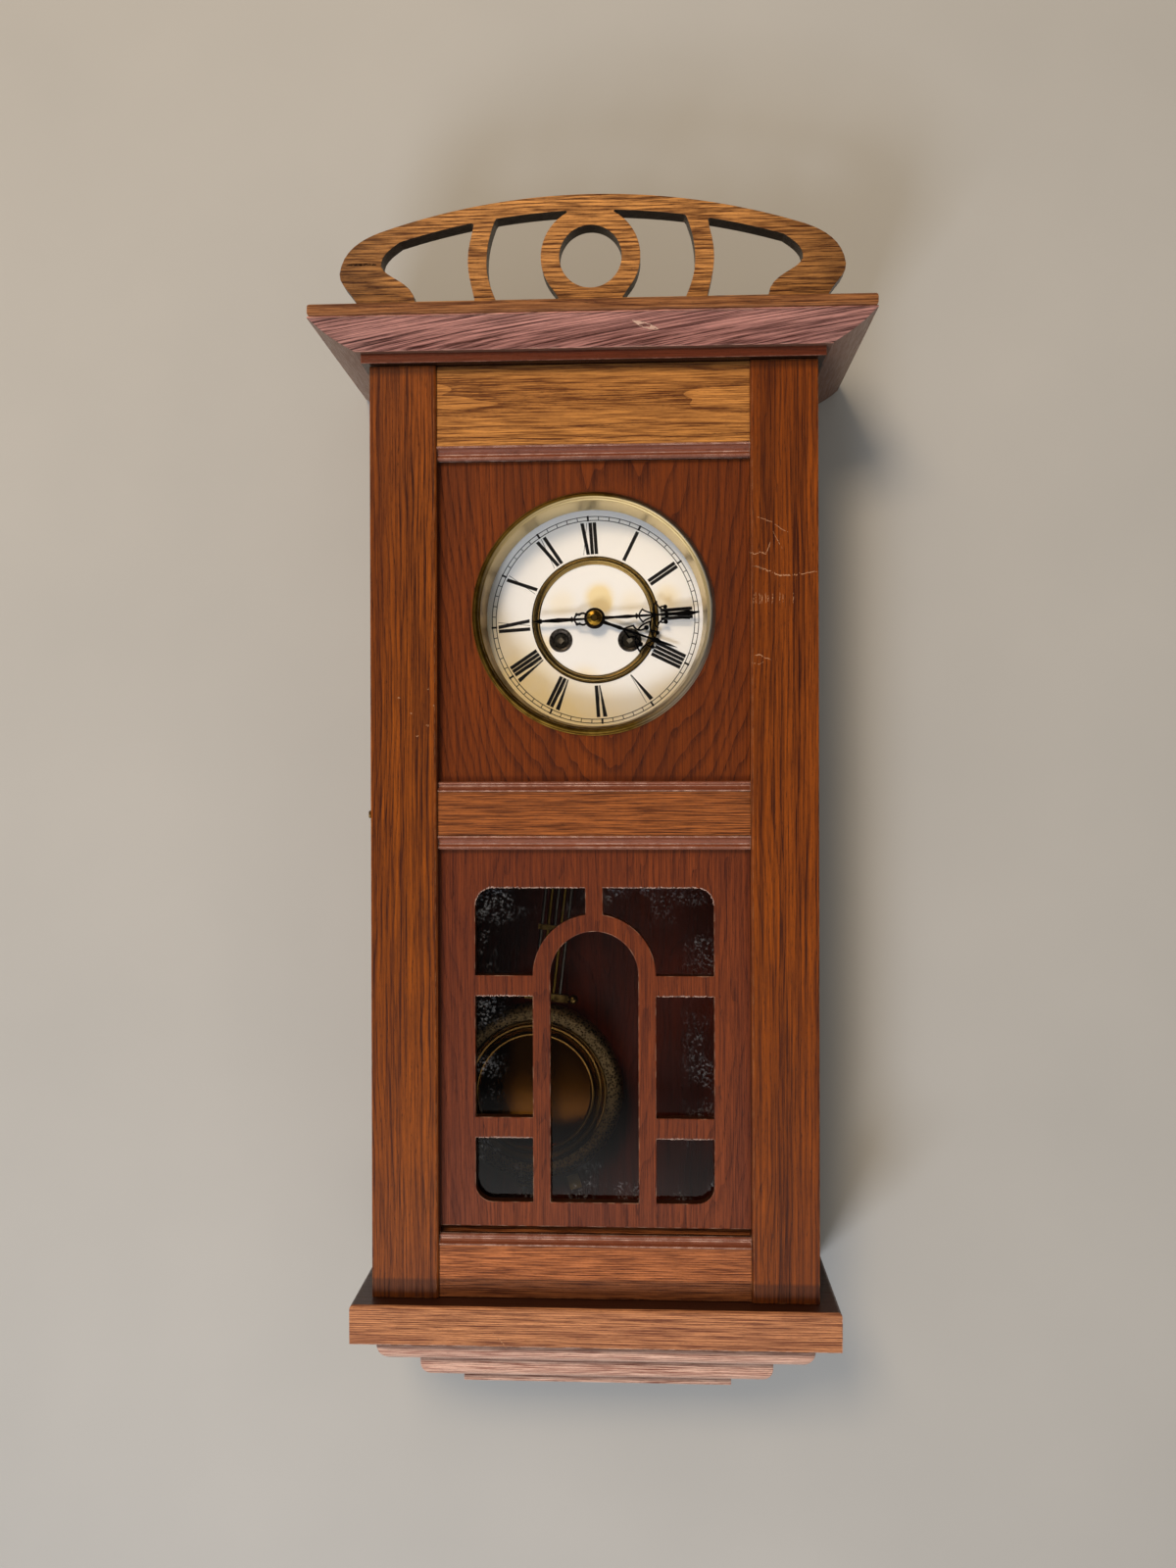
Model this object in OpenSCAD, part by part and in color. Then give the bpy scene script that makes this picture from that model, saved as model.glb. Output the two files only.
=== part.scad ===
// Wall regulator clock in an oak case, with a full-height door, a striking movement and a
// gridiron pendulum. Millimetres. X is to the right, +Y goes into the wall, +Z is up, and the
// origin is the hanging hole in the plate on the back of the case, on the wall.

/* [Case] */
// Half the width of the case over its sides
case_half = 150; // [130:1:180]
// Thickness of the side boards
side_t = 13; // [9:0.5:18]
// Thickness of the back board
back_t = 9; // [8:0.5:14]
// Distance from the wall to the front face of the door stiles
front_d = 140; // [138:1:160]
// Depth of the hanging hole below the top board
hang_drop = 21.5; // [20:0.5:30]
// Thickness of the top board
top_t = 6.5; // [5:0.5:12]
// How far the top board stands out past the door at the sides and in front
top_lip = 5; // [3:0.5:8]

/* [Cornice and crest] */
// Height of the bevelled cornice moulding
cornice_h = 15.1; // [10:0.1:20]
// How far the cornice moulding leans out
cornice_out = 25; // [15:0.5:30]
// Square lip at the foot of the cornice moulding
cornice_step = 4; // [2:0.5:6]
// Thickness of the cap board
cap_t = 8.7; // [6:0.1:14]
// Radius of the rounded edge of the cap board
cap_round = 2.6; // [1:0.1:2.9]
// Height of the fretwork crest
crest_h = 73.7; // [60:0.1:90]
// Half the width of the crest
crest_half = 167.5; // [150:0.5:175]
// Thickness of the crest board
crest_t = 12; // [8:0.5:16]
// How far the crest stands behind the front edge of the cap board
crest_back = 14; // [8:0.5:30]
// Radius of the long curve along the crest's top
crest_arc = 452; // [420:1:520]
// Width of the band under that curve
crest_band = 10.4; // [8:0.1:13]
// Height of the low rail along the crest's foot
crest_foot = 5; // [3:0.5:8]
// Height of the ring's centre above the cap
ring_z = 32.7; // [31.5:0.1:34]
// Outside radius of the ring
ring_r = 33; // [30:0.5:36]
// Radius of the hole in the ring
ring_hole = 20.7; // [16:0.1:26]
// Radius of the dowels that hold the crest
dowel_r = 3; // [2:0.1:4]
// Distance of each crest dowel in from the crest's end
dowel_end = 19.5; // [18:0.5:20.5]

/* [Base] */
// Thickness of the base board
base_t = 26; // [18:0.5:34]
// How far the base board stands out past the door
base_lip = 13; // [8:0.5:20]
// Radius of the base board's rounded top edge
base_round = 2.5; // [1:0.1:5]
// Half the width of the upper step under the base
step1_half = 148.5; // [140:0.5:155]
// Half the width of the middle step
step2_half = 122.5; // [110:0.5:128]
// Half the width of the lower step
step3_half = 95; // [80:0.5:105]
// Height of the upper step
step1_h = 17.5; // [15:0.5:24]
// Height of the middle step
step2_h = 21; // [15:0.5:28]
// Height of the lower step
step3_h = 10; // [5:0.5:16]
// Radius of the upper step's rounded lower edge
step1_round = 14; // [8:0.5:15]
// Radius of the middle step's rounded lower edge
step2_round = 12.5; // [8:0.5:15]
// How far each step's front stands behind the one above
step_in = 9; // [5:0.5:14]

/* [Door] */
// Half the width of the door
door_half = 152; // [130:1:182]
// Thickness of the stiles
door_t = 22; // [20:0.5:28]
// Width of a stile
stile_w = 45.5; // [35:0.5:55]
// How far the rails lie behind the stiles
rail_in = 3; // [1:0.5:5]
// How far the panels lie behind the stiles
panel_in = 10; // [8:0.5:12]
// Thickness of the panels
panel_t = 8; // [6:0.5:9]
// Depth of the grooves that hold the panels
groove = 6; // [4:0.5:9]
// Height of the top rail
rail_top_h = 54.6; // [40:0.1:70]
// Height of the middle rail
rail_mid_h = 30.3; // [20:0.1:45]
// Height of the bottom rail
rail_bot_h = 35.7; // [25:0.1:50]
// Distance from the middle rail's top down from the door's top
rail_mid_drop = 290.4; // [280:0.1:310]
// Height of the moulding strips under the top and middle rails
strip_h = 9.5; // [6:0.1:12]
// Height of the low strips above the middle and bottom rails
strip_low_h = 6.8; // [4:0.1:9]
// Dark gap between the fretted panel and the strip below it
panel_gap = 4; // [1:0.5:6]
// Running gap round the door
door_gap = 0.5; // [0.3:0.1:1.5]

/* [Window] */
// Half the width of the fretted window
win_half = 82; // [70:0.5:92]
// Distance from the door's top down to the window's top
win_drop = 356.8; // [350:0.1:370]
// Height of the panel under the window
win_foot = 27.5; // [24:0.5:40]
// Radius of the window's outer corners
win_round = 12; // [6:0.5:16]
// Half the width of the bar above the arch
win_bar = 6; // [4:0.5:9]
// Outside radius of the arch
arch_out = 42.3; // [38:0.1:48]
// Inside radius of the arch
arch_in = 30.3; // [24:0.1:34]
// Distance from the window's top down to the centre of the arch
arch_drop = 60.2; // [58:0.1:66]
// Height of each cross bar
bar_h = 14.2; // [8:0.1:18]
// Distance from the window's foot up to the top of the lower cross bars
bar_up = 58.2; // [30:0.1:80]
// Thickness of the window glass
glass_t = 2; // [1.5:0.1:3]
// How far the window glass reaches past the opening
glass_lap = 8; // [5:0.5:9]

/* [Bezel] */
// Outside radius of the brass bezel
bezel_r = 83.5; // [80.5:0.1:90]
// Radius of the hole in the upper panel
bezel_hole = 79.9; // [79.5:0.1:80.2]
// Radius of the bezel's inner end, next to the dial
sight_r = 76; // [75:0.1:77]
// Depth of the sloping sight ring behind the glass
sight_d = 18; // [10:0.5:20]
// Thickness of the spun brass
bezel_t = 0.7; // [0.5:0.1:1.2]
// Thickness of the dial glass
dial_glass_t = 2; // [1.5:0.1:2.4]

/* [Dial] */
// Distance of the dial's centre below the door's top
dial_drop = 168.75; // [160:0.25:175]
// Distance from the wall to the face of the dial
dial_d = 98; // [96:0.5:100]
// Outside radius of the chapter ring
dial_r = 79.5; // [78:0.5:84]
// Thickness of the chapter ring
dial_t = 1.5; // [1:0.1:2]
// Thickness of the metal plate behind the dial
dial_plate_t = 1.2; // [0.8:0.1:1.6]
// Outside radius of the brass ring on the dial
dial_ring_r = 45.2; // [44:0.1:48]
// Inside radius of the brass ring on the dial
dial_ring_in = 39.5; // [37:0.1:40]
// Radius of the winding holes
wind_hole = 5.6; // [5:0.1:6.5]
// Outside radius of a winding eyelet
eyelet_r = 8.4; // [7.5:0.1:9]

/* [Hands] */
// Length of the minute hand from its axis
minute_l = 73.3; // [66:0.1:75]
// Length of the minute hand's tail
minute_tail = 44; // [36:0.5:50]
// Length of the hour hand
hour_l = 62; // [54:0.5:66]
// Thickness of the hands
hand_t = 0.9; // [0.6:0.1:1.2]
// Clockwise angle of the minute hand from the upright
minute_angle = 87.2; // [0:0.1:360]
// Clockwise angle of the hour hand from the upright
hour_angle = 109.4; // [0:0.1:360]
// Distance from the dial to the hour hand
hour_gap = 3.5; // [3:0.1:5]
// Distance from the hour hand to the minute hand
minute_gap = 3.4; // [2.5:0.1:5]
// Radius of the brass nut on the hands
nut_r = 5.4; // [4:0.1:6]

/* [Movement] */
// Half the width of the movement plates
plate_half = 54; // [53:0.5:60]
// Height of the plates above the hands' axis
plate_up = 72; // [70:0.5:80]
// Depth of the plates below the hands' axis
plate_down = 48; // [47:0.5:52]
// Thickness of the plates
plate_t = 2; // [1.5:0.1:2.5]
// Distance between the plates
plate_gap = 32; // [31.5:0.1:33]
// Distance from the wall to the back plate
plate_d = 49; // [48.5:0.1:50]
// Distance of each winding arbor from the middle
wind_x = 24.5; // [24:0.1:25.5]
// Distance of the winding arbors below the hands' axis
wind_z = 14.4; // [14:0.1:16]
// Outside radius of the spring barrels
barrel_r = 21.5; // [18:0.1:22]
// Length of the spring barrels
barrel_l = 21; // [16:0.1:21.4]
// Radius of the winding arbors
wind_r = 3.5; // [3:0.1:3.8]
// Side of the winding squares
wind_sq = 3.5; // [3:0.1:4]
// Radius of the train arbors
arbor_r = 1.5; // [1.2:0.1:1.8]
// Radius of the pivots in the plates
pivot_r = 1; // [0.7:0.05:1.1]
// Thickness of a train wheel
wheel_t = 1.5; // [1:0.1:1.6]
// Radius of the pillars
pillar_r = 4; // [3:0.1:4.5]
// Running clearance of pivots, pipes and pins in their holes
run_fit = 0.05; // [0.02:0.01:0.09]

/* [Gear teeth] */
// Teeth on a spring barrel
barrel_teeth = 72; // [60:2:84]
// Leaves on a pinion
leaves = 8; // [7:1:10]
// Teeth on the centre wheel
centre_teeth = 64; // [56:1:72]
// Teeth on the third wheel
third_teeth = 60; // [52:1:64]
// Teeth on the escape wheel
escape_teeth = 30; // [24:2:36]
// Leaves on the cannon pinion
cannon_leaves = 14; // [12:1:16]
// Leaves on the minute wheel's pinion
minute_leaves = 12; // [10:1:12]
// Part of a module taken off each tooth's half width for play
tooth_play = 0.1; // [0.06:0.01:0.14]

/* [Pendulum] */
// Height of the pendulum's pivot above the hands' axis
pivot_up = 62; // [60:0.5:62]
// Distance from the wall to the plane of the pendulum rod
rod_d = 37; // [36:0.5:38]
// Distance from the pivot to the middle of the bob
bob_drop = 414.9; // [413:0.1:440]
// Outside radius of the bob
bob_r = 66.5; // [55:0.5:67]
// Distance from the rim of the bob down to the door's foot
bob_foot = 47.85; // [40:0.05:80]
// Lean of the pendulum to the left, as the clock was laid down
lean = 6.72; // [0:0.01:7.5]
// Radius of a gridiron rod
rod_r = 1.35; // [0.9:0.05:1.7]
// Distance between neighbouring gridiron rods
rod_pitch = 4.9; // [4.2:0.1:5.5]
// Distance from the pivot to the gridiron's top bar
bar_top_drop = 120; // [100:1:140]
// Distance from the gridiron's middle bar to its bottom bar
bar_mid_up = 52.5; // [40:0.5:70]
// Distance from the gridiron's bottom bar to the rim of the bob
bar_gap = 5.4; // [4.5:0.1:12]
// Half the length of the bottom bar between its knobs
bar_low_half = 16.5; // [14:0.5:20]
// Radius of the knobs on the bottom bar
knob_r = 3.7; // [3:0.1:4.5]
// Radius of the rating nut
rating_r = 6; // [4:0.1:8]

/* [Strike] */
// Radius of the gong wire
gong_wire = 1.3; // [1:0.1:1.8]
// Outside radius of the gong
gong_r = 44; // [38:0.5:48]
// Turns in the gong
gong_turns = 6; // [4:1:7]
// Distance between neighbouring turns
gong_pitch = 5.6; // [4.8:0.1:6.5]
// Distance of the gong's centre below the hands' axis
gong_drop = 105; // [102:1:115]
// Distance from the wall to the plane of the gong
gong_d = 17; // [16:0.5:20]
// Distance of the hammer's arbor from the middle
hammer_x = 51; // [50.5:0.5:52]

/* [Hardware] */
// Radius of the hanging hole
hang_r = 6; // [5:0.1:8]
// Thickness of the hanging plate
hang_t = 2; // [1.5:0.1:3]
// Length of a hinge
hinge_l = 42; // [30:1:60]
// Radius of a hinge knuckle
knuckle_r = 2.2; // [1.9:0.1:2.2]
// Radius of a hinge pin
hinge_pin_r = 1; // [0.8:0.05:1.2]
// Thickness of a hinge leaf
leaf_t = 1.2; // [0.8:0.1:1.6]
// Distance from the door's top to the upper hinge
hinge_top_drop = 62; // [40:1:100]
// Distance from the door's foot up to the lower hinge
hinge_low_up = 104; // [80:1:140]
// Distance from the door's top to the side hook
hook_drop = 306; // [250:1:340]
// Reach of the side hook from its screw to the pin on the door
hook_reach = 29; // [22:0.5:36]
// Thickness of the side hook
hook_t = 1.5; // [1:0.1:2.5]

/* [Hidden] */
$fn = 64;

// Small clearances
seat = 0.1;        // between a piece and the pocket or bore it sits in
eps = 1;           // how far a cut runs past the surface it opens
screw_r = 1.6;     // wood screws
head_r = 3.2;      // their heads
head_t = 1.4;

// Colours
oak = "sienna";
oak_light = "peru";
brass = "goldenrod";
steel = "slategray";
blued = "dimgray";

// Heights, counted from the hanging hole
top_z = hang_drop;
cornice_z = top_z + top_t;
cap_z = cornice_z + cornice_h;
crest_z = cap_z + cap_t;
door_top = top_z - door_gap;
door_h = dial_drop - pivot_up + bob_drop + bob_r + bob_foot;
door_bot = door_top - door_h;
base_z = door_bot - door_gap;
dial_z = door_top - dial_drop;
rail_top_z = door_top - rail_top_h;
rail_mid_z = door_top - rail_mid_drop;
rail_mid_low = rail_mid_z - rail_mid_h;
rail_bot_z = door_bot + rail_bot_h;
panel_low_z = rail_bot_z + strip_low_h + panel_gap;
win_z = door_top - win_drop;
win_h = win_z - rail_bot_z - win_foot;
bar_drop = win_h - bar_up;
pivot_z = dial_z + pivot_up;
gong_z = dial_z - gong_drop;

// Widths and depths
inner_half = case_half - side_t;
stile_in = door_half - stile_w;
top_half = door_half + top_lip;
top_d = front_d + top_lip;
cap_half = top_half + cornice_step + cornice_out;
cap_d = top_d + cornice_step + cornice_out;
base_half = door_half + base_lip;
base_d = front_d + base_lip;
door_back = front_d - door_t;
case_d = door_back - door_gap;
rail_d = front_d - rail_in;
panel_d = front_d - panel_in;
panel_back = panel_d - panel_t;
front_plate_d = plate_d + plate_t + plate_gap;
hinge_x = door_half + 0.8;
hinge_d = door_back - door_gap / 2;

// Draws a flat outline of width and height with its back at depth d from the wall
module slab(d, t) translate([0, -d, 0]) rotate([90, 0, 0]) linear_extrude(t) children();

// Turns a profile of radius and distance to the front about an axis square to the wall
module turned(x, z, d) translate([x, -d, z]) rotate([90, 0, 0]) rotate_extrude($fn = 96) children();

// A round bar square to the wall, from depth d0 to depth d1
module bar(x, z, d0, d1, r) translate([x, -d0, z]) rotate([90, 0, 0]) cylinder(h = d1 - d0, r = r);

// Draws an outline of depth and height and gives it a width t from x on
module side_slab(x, t) translate([x, 0, 0]) rotate([90, 0, 90]) linear_extrude(t) children();

// A board from half width w, depth d0 to d1 and height z0 to z1
module board(w, d0, d1, z0, z1) translate([-w, -d1, z0]) cube([2 * w, d1 - d0, z1 - z0]);

// Points on a circular arc
function arc(x, y, r, a0, a1, n) =
    [for (i = [0 : n]) let (a = a0 + (a1 - a0) * i / n) [x + r * cos(a), y + r * sin(a)]];

// Points on a cubic curve with two handles
function curve(p, q, s, t, n) =
    [for (i = [0 : n]) let (u = i / n, v = 1 - u)
        v * v * v * p + 3 * v * v * u * q + 3 * v * u * u * s + u * u * u * t];

// A board whose lower front and side edges are rounded, or its upper ones if up is true
module rounded_board(w, d, z0, z1, r, up = false) intersection() {
    side_slab(-w, 2 * w) edge_outline(d, z0, z1, r, up);
    slab(0, d) end_outline(w, z0, z1, r, up);
}

// Side outline of a rounded board: Y runs from minus d at the front to the wall
module edge_outline(d, z0, z1, r, up)
    polygon(up ? concat([[0, z0], [-d, z0]], arc(-d + r, z1 - r, r, 180, 90, 12), [[0, z1]])
               : concat([[0, z1], [-d, z1]], arc(-d + r, z0 + r, r, 180, 270, 12), [[0, z0]]));

// Front outline of a rounded board
module end_outline(w, z0, z1, r, up)
    polygon(up ? concat([[-w, z0]], arc(-w + r, z1 - r, r, 180, 90, 12),
                        arc(w - r, z1 - r, r, 90, 0, 12), [[w, z0]])
               : concat([[-w, z1]], arc(-w + r, z0 + r, r, 180, 270, 12),
                        arc(w - r, z0 + r, r, 270, 360, 12), [[w, z1]]));

// A screw whose head lies at depth d and whose shank points to the wall
module screw_back(x, z, d, l) {
    bar(x, z, d - l, d + 0.01, screw_r);
    turned(x, z, d)
        polygon([[0, 0], [head_r, 0], [head_r, head_t * 0.4], [head_r * 0.6, head_t], [0, head_t]]);
}

// The case

module back_board() color(oak) difference() {
    board(inner_half, 0, back_t, base_z, top_z);
    board(hang_plate_w / 2 + seat, -eps, hang_t, hang_plate_low - seat, hang_plate_top + seat);
    bar(0, 0, hang_t - eps, hang_pocket_d, hang_r + 2);
    bar(0, hang_slot, hang_t - eps, hang_pocket_d, hang_r + 2);
    board(hang_r + 2, hang_t - eps, hang_pocket_d, 0, hang_slot);
    for (p = hang_screws) bar(p[0], p[1], -eps, back_t - 1, screw_r + seat / 2);
    for (p = bracket_screws) bar(p[0], p[1], 1, back_t + eps, screw_r + seat / 2);
    bar(stand_x, gong_z, 1, back_t + eps, screw_r + seat / 2);
}

module case_side_left() color(oak) difference() {
    translate([-case_half, -case_d, base_z]) cube([side_t, case_d, top_z - base_z]);
    translate([-case_half - eps, -hook_d, hook_z]) rotate([0, 90, 0])
        cylinder(h = side_t - 2 + eps, r = screw_r + seat / 2);
}

module case_side_right() color(oak) difference() {
    translate([inner_half, -case_d, base_z]) cube([side_t, case_d, top_z - base_z]);
    for (z = hinge_zs)
        translate([hinge_x - leaf_w - seat, -case_d - eps, z - hinge_l / 2 - seat])
            cube([leaf_w, leaf_sink + seat + eps, hinge_l + 2 * seat]);
}

module case_top() color(oak) board(top_half, 0, top_d, top_z, cornice_z);

// Profile of the cornice moulding, as outward distance from the top board's edge and height
cornice_lip = 1.1;
cornice_profile = concat(
    [[-12, 0], [cornice_step, 0]],
    curve([cornice_step, 0.6], [cornice_step + cornice_out * 0.42, cornice_h * 0.26],
          [cornice_step + cornice_out * 0.74, cornice_h * 0.56],
          [cornice_step + cornice_out - 0.6, cornice_h - cornice_lip], 8),
    [[cornice_step + cornice_out, cornice_h - cornice_lip],
     [cornice_step + cornice_out, cornice_h], [-12, cornice_h]]);

module cornice_moulding() color(oak) {
    far = cap_half + 5;
    intersection() {
        translate([-far, 0, cornice_z]) rotate([90, 0, 90]) linear_extrude(2 * far)
            mirror([1, 0]) translate([top_d, 0]) polygon(cornice_profile);
        translate([0, 0, cornice_z - eps]) linear_extrude(cornice_h + 2 * eps)
            polygon([[-top_half + 20, -top_d + 20], [-cap_half - 2, -cap_d - 2],
                     [cap_half + 2, -cap_d - 2], [top_half - 20, -top_d + 20]]);
    }
    for (s = [0, 1]) mirror([s, 0, 0]) intersection() {
        translate([top_half, 0, cornice_z]) rotate([90, 0, 0]) linear_extrude(cap_d + 2)
            polygon(cornice_profile);
        translate([0, 0, cornice_z - eps]) linear_extrude(cornice_h + 2 * eps)
            polygon([[top_half - 20, -top_d + 20], [cap_half + 2, -cap_d - 2],
                     [cap_half + 2, 0], [top_half - 20, 0]]);
    }
}

module cornice_cap() color(oak) difference() {
    intersection() {
        side_slab(-cap_half, 2 * cap_half) {
            polygon(concat([[0, cap_z]], arc(-cap_d + cap_round, cap_z + cap_round, cap_round, 270, 180, 8),
                           arc(-cap_d + cap_round, crest_z - cap_round, cap_round, 180, 90, 8),
                           [[0, crest_z]]));
        }
        slab(0, cap_d)
            polygon(concat(
                arc(-cap_half + cap_round, cap_z + cap_round, cap_round, 270, 180, 8),
                arc(-cap_half + cap_round, crest_z - cap_round, cap_round, 180, 90, 8),
                arc(cap_half - cap_round, crest_z - cap_round, cap_round, 90, 0, 8),
                arc(cap_half - cap_round, cap_z + cap_round, cap_round, 0, -90, 8)));
    }
    for (s = [-1, 1])
        translate([s * dowel_x, -crest_d + crest_t / 2, crest_z - dowel_in])
            cylinder(h = dowel_in + eps, r = dowel_r + seat / 2);
}

// The crest: a shallow arch over a ring and two uprights, with a scrolled foot at each end
crest_d = cap_d - crest_back;
dowel_in = 5;
shoulder_x = crest_half - 27;
dowel_x = crest_half - dowel_end;
scroll_x = crest_half - 40.5;
upright_x = 79;

function crest_y(x, drop) = crest_h - crest_arc + sqrt(pow(crest_arc - drop, 2) - x * x);

crest_edge = concat(
    [for (i = [0 : 24]) let (x = shoulder_x * i / 24) [x, crest_y(x, 0)]],
    curve([shoulder_x, crest_y(shoulder_x, 0)], [crest_half - 14, crest_h - 27],
          [crest_half - 2, crest_h - 34], [crest_half, crest_h - 49.5], 8),
    curve([crest_half, crest_h - 49.5], [crest_half + 0.4, crest_h - 58],
          [crest_half - 10, crest_h - 62], [crest_half - 13, 0], 6));

// Half of the outer opening, from the upright round under the band to the scroll
end_hole = concat(
    [for (i = [0 : 8]) let (x = upright_x + (scroll_x - upright_x) * i / 8)
        [x, crest_y(x, crest_band)]],
    curve([scroll_x, crest_y(scroll_x, crest_band)], [scroll_x + 9, crest_h - 35],
          [scroll_x + 13, crest_h - 39], [scroll_x + 12.5, crest_h - 45], 6),
    curve([scroll_x + 12.5, crest_h - 45], [scroll_x + 10, crest_h - 53],
          [scroll_x - 9, crest_h - 55], [scroll_x - 10, crest_foot], 8),
    curve([77, crest_foot], [79, 14], [81.5, 22], [81.5, 30], 5),
    curve([81.5, 32], [81.5, 42], [78, 50], [77.5, crest_y(77.5, crest_band) - 1], 5));

// Half of the opening between the ring and an upright
side_hole = concat(
    [for (i = [0 : 6]) let (x = 16 + i * 7.7) [x, crest_y(x, crest_band)]],
    curve([63.5, crest_y(63.5, crest_band) - 1.5], [67, 48], [69, 40], [69, 30], 6),
    curve([69, 28], [69, 20], [66, 12], [63, crest_foot], 5),
    [[21, crest_foot]],
    arc(0, ring_z, ring_r, -42, 62, 16));

module crest() color(oak_light) translate([0, 0, crest_z]) {
    slab(crest_d - crest_t, crest_t) difference() {
        union() for (s = [0, 1]) mirror([s, 0]) polygon(concat([[0, 0]], crest_edge));
        for (s = [0, 1]) mirror([s, 0]) {
            polygon(end_hole);
            polygon(side_hole);
        }
        translate([0, ring_z]) circle(ring_hole);
    }
    for (s = [-1, 1]) translate([s * dowel_x, -crest_d + crest_t / 2, -dowel_in + 0.3])
        cylinder(h = dowel_in, r = dowel_r);
}

module base_board() color(oak)
    rounded_board(base_half, base_d, base_z - base_t, base_z, base_round, true);

step1_z = base_z - base_t;
step2_z = step1_z - step1_h;
step3_z = step2_z - step2_h;
step1_d = base_d - step_in;
step2_d = step1_d - step1_round - step_in;
step3_d = step2_d - step2_round - step_in;

module base_step_upper() color(oak)
    rounded_board(step1_half, step1_d, step2_z, step1_z, step1_round);

module base_step_middle() color(oak)
    rounded_board(step2_half, step2_d, step3_z, step2_z, step2_round);

module base_step_lower() color(oak) board(step3_half, 0, step3_d, step3_z - step3_h, step3_z);

// Case hardware
hang_plate_w = 34;
hang_plate_low = -36;
hang_plate_top = 19;
hang_slot = 12;
hang_slot_r = 2.5;
hang_pocket_d = 7;
hang_screws = [[-12, 10], [12, 10], [-12, -28], [12, -28]];
bracket_screws = [[-30, dial_z - plate_down - 15], [30, dial_z - plate_down - 15]];
hinge_zs = [door_top - hinge_top_drop, door_bot + hinge_low_up];
leaf_w = 15;
leaf_play = 0.05;
leaf_sink = leaf_t + leaf_play - door_gap / 2;

module hanging_plate() color(steel) difference() {
    board(hang_plate_w / 2, 0, hang_t, hang_plate_low, hang_plate_top);
    bar(0, 0, -eps, hang_t + eps, hang_r);
    bar(0, hang_slot, -eps, hang_t + eps, hang_slot_r);
    board(hang_slot_r, -eps, hang_t + eps, 0, hang_slot);
    for (p = hang_screws) {
        bar(p[0], p[1], -eps, hang_t + eps, screw_r + seat / 2);
        turned(p[0], p[1], 0)
            polygon([[0, -eps], [screw_r + seat + 1.2 + eps, -eps], [screw_r + seat, 1.2], [0, 1.2]]);
    }
}

// Wood screws of the hanging plate, bracket, gong stand and hook, and the bracket's thumb screws
module case_screws() color(steel) {
    for (p = hang_screws) {
        bar(p[0], p[1], 0.1, back_t - 1.5, screw_r);
        turned(p[0], p[1], 0) polygon([[0, 0.1], [screw_r + 1.1, 0.1], [screw_r, 1.15], [0, 1.15]]);
    }
    for (p = bracket_screws) screw_back(p[0], p[1], back_t + bracket_t, bracket_t + back_t - 2);
    screw_back(stand_x, gong_z, gong_d + stand_front, gong_d + stand_front - 2);
    for (s = [-1, 1]) translate([s * foot_x, -foot_d, dial_z - plate_down - arm_t]) {
        translate([0, 0, -5]) cylinder(h = 5 + arm_t + 3, r = thumb_r);
        translate([0, 0, -5]) cylinder(h = 5, r = 5.5);
    }
    translate([-case_half - hook_stand - hook_t - 0.3, -hook_d, hook_z]) rotate([0, 90, 0]) {
        cylinder(h = hook_stand + hook_t + 0.3 + side_t - 3, r = screw_r);
        translate([0, 0, -1.6]) cylinder(h = 1.6, r = head_r);
    }
    translate([-case_half - hook_stand + 0.1, -hook_d, hook_z]) rotate([0, 90, 0])
        cylinder(h = hook_stand - 0.1, r = 2.6);
}

module case_hinge_leaves() color(brass) for (z = hinge_zs) {
    translate([hinge_x - leaf_w, -hinge_d + leaf_play, z - hinge_l / 2])
        cube([leaf_w - knuckle_r, leaf_t, hinge_l]);
    for (s = [0, 1]) mirror_z(z, s) translate([0, 0, z - hinge_l / 2]) {
        translate([hinge_x, -hinge_d, 0]) cylinder(h = hinge_l / 3 - 0.1, r = knuckle_r);
        translate([hinge_x - knuckle_r - 1, -hinge_d + leaf_play, 0])
            cube([knuckle_r + 1, leaf_t, hinge_l / 3 - 0.1]);
    }
    translate([hinge_x, -hinge_d, z - hinge_l / 2 + 1]) cylinder(h = hinge_l - 2, r = hinge_pin_r);
}

// Mirrors what follows about the level z when s is 1
module mirror_z(z, s) translate([0, 0, s * 2 * z]) mirror([0, 0, s]) children();

module beat_plaque() color("khaki")
    translate([plaque_x, 0, plaque_z]) rotate([0, -18, 0]) board(4.6, back_t, back_t + 0.8, -5.5, 5.5);
plaque_x = -21;
plaque_z = base_z + 39;

// Hook on the left side of the case: its screw is at depth hook_d, its pin on the door's edge
hook_z = door_top - hook_drop;
hook_stand = 2.3;
hook_pin_d = door_back + door_t / 2;
hook_d = hook_pin_d - hook_reach;
hook_pin_r = 1.5;

module door_hook() color(brass)
    side_slab(-case_half - hook_stand - hook_t, hook_t) translate([-hook_d, hook_z]) rotate(90) difference() {
        union() {
            circle(4);
            translate([-hook_reach - 3.5, -3]) square([hook_reach + 3.5, 3]);
            translate([-hook_reach, 0]) circle(4.5);
            translate([-hook_reach - 8.5, -3]) rotate(-20) square([6, 1.8]);
        }
        circle(screw_r + run_fit);
        translate([-hook_reach, 0]) circle(hook_pin_r + 0.2);
        translate([-hook_reach - hook_pin_r - 0.2, 0]) square([2 * hook_pin_r + 0.4, 8]);
        translate([-hook_reach, 0.01]) square([10, 8]);
    }

// The door

module groove_cut(x0, x1, z0, z1)
    translate([x0, -panel_d - seat / 2, z0]) cube([x1 - x0, panel_t + seat, z1 - z0]);

module stile() difference() {
    translate([stile_in, -front_d, door_bot]) cube([stile_w, door_t, door_h]);
    groove_cut(stile_in - eps, stile_in + groove + seat, rail_bot_z, door_top - rail_top_h + groove + seat);
    translate([stile_in, -front_d, door_bot - eps]) rotate([0, 0, 45])
        translate([-0.9, -0.9, 0]) cube([1.8, 1.8, door_h + 2 * eps]);
}

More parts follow.
